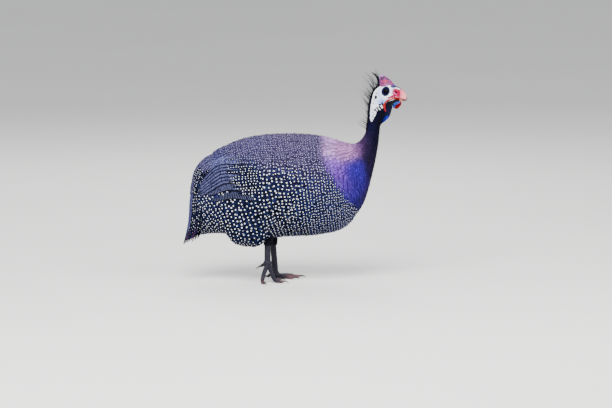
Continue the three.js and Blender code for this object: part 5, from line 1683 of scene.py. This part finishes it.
scalySkin = legMaterial()
clawHorn = hornMaterial("clawHorn", "241e1c", "6b5a50", 0.32, pale="3d332e")
for sideName, leg in legs.items():
    made = makeLeg("leg_" + sideName, leg)
    dress(made, scalySkin, "leg", "shank_" + sideName, "foot_" + sideName)
    shinVanes("shinFeathers_" + sideName, leg)
    parts = []
    for path in leg["claws"].values():
        parts.append(tubeMesh(path, lambda s: (2.3 + (0.4 - 2.3) * s ** 0.9, 2.5 + (0.4 - 2.5) * s ** 0.8),
                              20, 22))
    points, groups = mergeMeshes(parts)
    made = outward(makeObject("claws_" + sideName, points, groups))
    dress(made, clawHorn, "claw", *("claw_" + sideName + "_" + toe for toe in leg["claws"]))
print("legs and claws made")


# Stage, light and camera

stageLook = {"sky": "f2f5fa", "skyPower": 0.8, "keyPower": 158, "fillPower": 40, "rimPower": 40}


def makeStage():
    half = 24.0
    floor = makeObject("floor", [(-half, -half, 0), (half, -half, 0), (half, half, 0), (-half, half, 0)],
                       np.array([[0, 1, 2, 3]]), metres=True)
    material, tree, shader = newMaterial("paleFloor", Roughness=0.85)
    place = objectPlace(tree)
    cloud = addNode(tree, "ShaderNodeTexNoise", {"Vector": place, "Scale": 1.3, "Detail": 3.0})
    tree.links.new(mixOf(tree, cloud.outputs[0], rgba("e4e2de"), rgba("eceae7")), shader.inputs["Base Color"])
    floor.data.materials.append(material)
    world = bpy.data.worlds.new("studio")
    world.use_nodes = True
    world.node_tree.nodes["Background"].inputs[0].default_value = rgba(stageLook["sky"])
    world.node_tree.nodes["Background"].inputs[1].default_value = stageLook["skyPower"]
    scene.world = world
    for name, place, size, power in (
        ("keyLight", (-0.5, -1.9, 2.2), 1.6, stageLook["keyPower"]),
        ("fillLight", (1.7, -1.2, 1.3), 1.5, stageLook["fillPower"]),
        ("rimLight", (-0.2, 1.9, 1.9), 1.4, stageLook["rimPower"]),
    ):
        data = bpy.data.lights.new(name, "AREA")
        data.energy, data.size = power, size
        lamp = bpy.data.objects.new(name, data)
        aim = np.array([0, 0, 0.2]) - place
        lamp.location = place
        lamp.rotation_euler = (math.acos(-aim[2] / np.linalg.norm(aim)), 0, math.atan2(-aim[0], aim[1]))
        scene.collection.objects.link(lamp)


photoView = {"centre": (0.0217, 0.0, 0.1538), "elevation": math.radians(7), "away": 8.0, "width": 1.224}


def makeCamera():
    data = bpy.data.cameras.new("camera")
    data.sensor_fit, data.sensor_width = "HORIZONTAL", 36.0
    data.lens = 36.0 * photoView["away"] / photoView["width"]
    data.clip_end = 100
    camera = bpy.data.objects.new("camera", data)
    e = photoView["elevation"]
    cx, cy, cz = photoView["centre"]
    camera.location = (cx, cy - photoView["away"] * math.cos(e), cz + photoView["away"] * math.sin(e))
    camera.rotation_euler = (math.pi / 2 - e, 0, 0)
    scene.collection.objects.link(camera)
    scene.camera = camera


makeStage()
makeCamera()
print("stage, light and camera set")
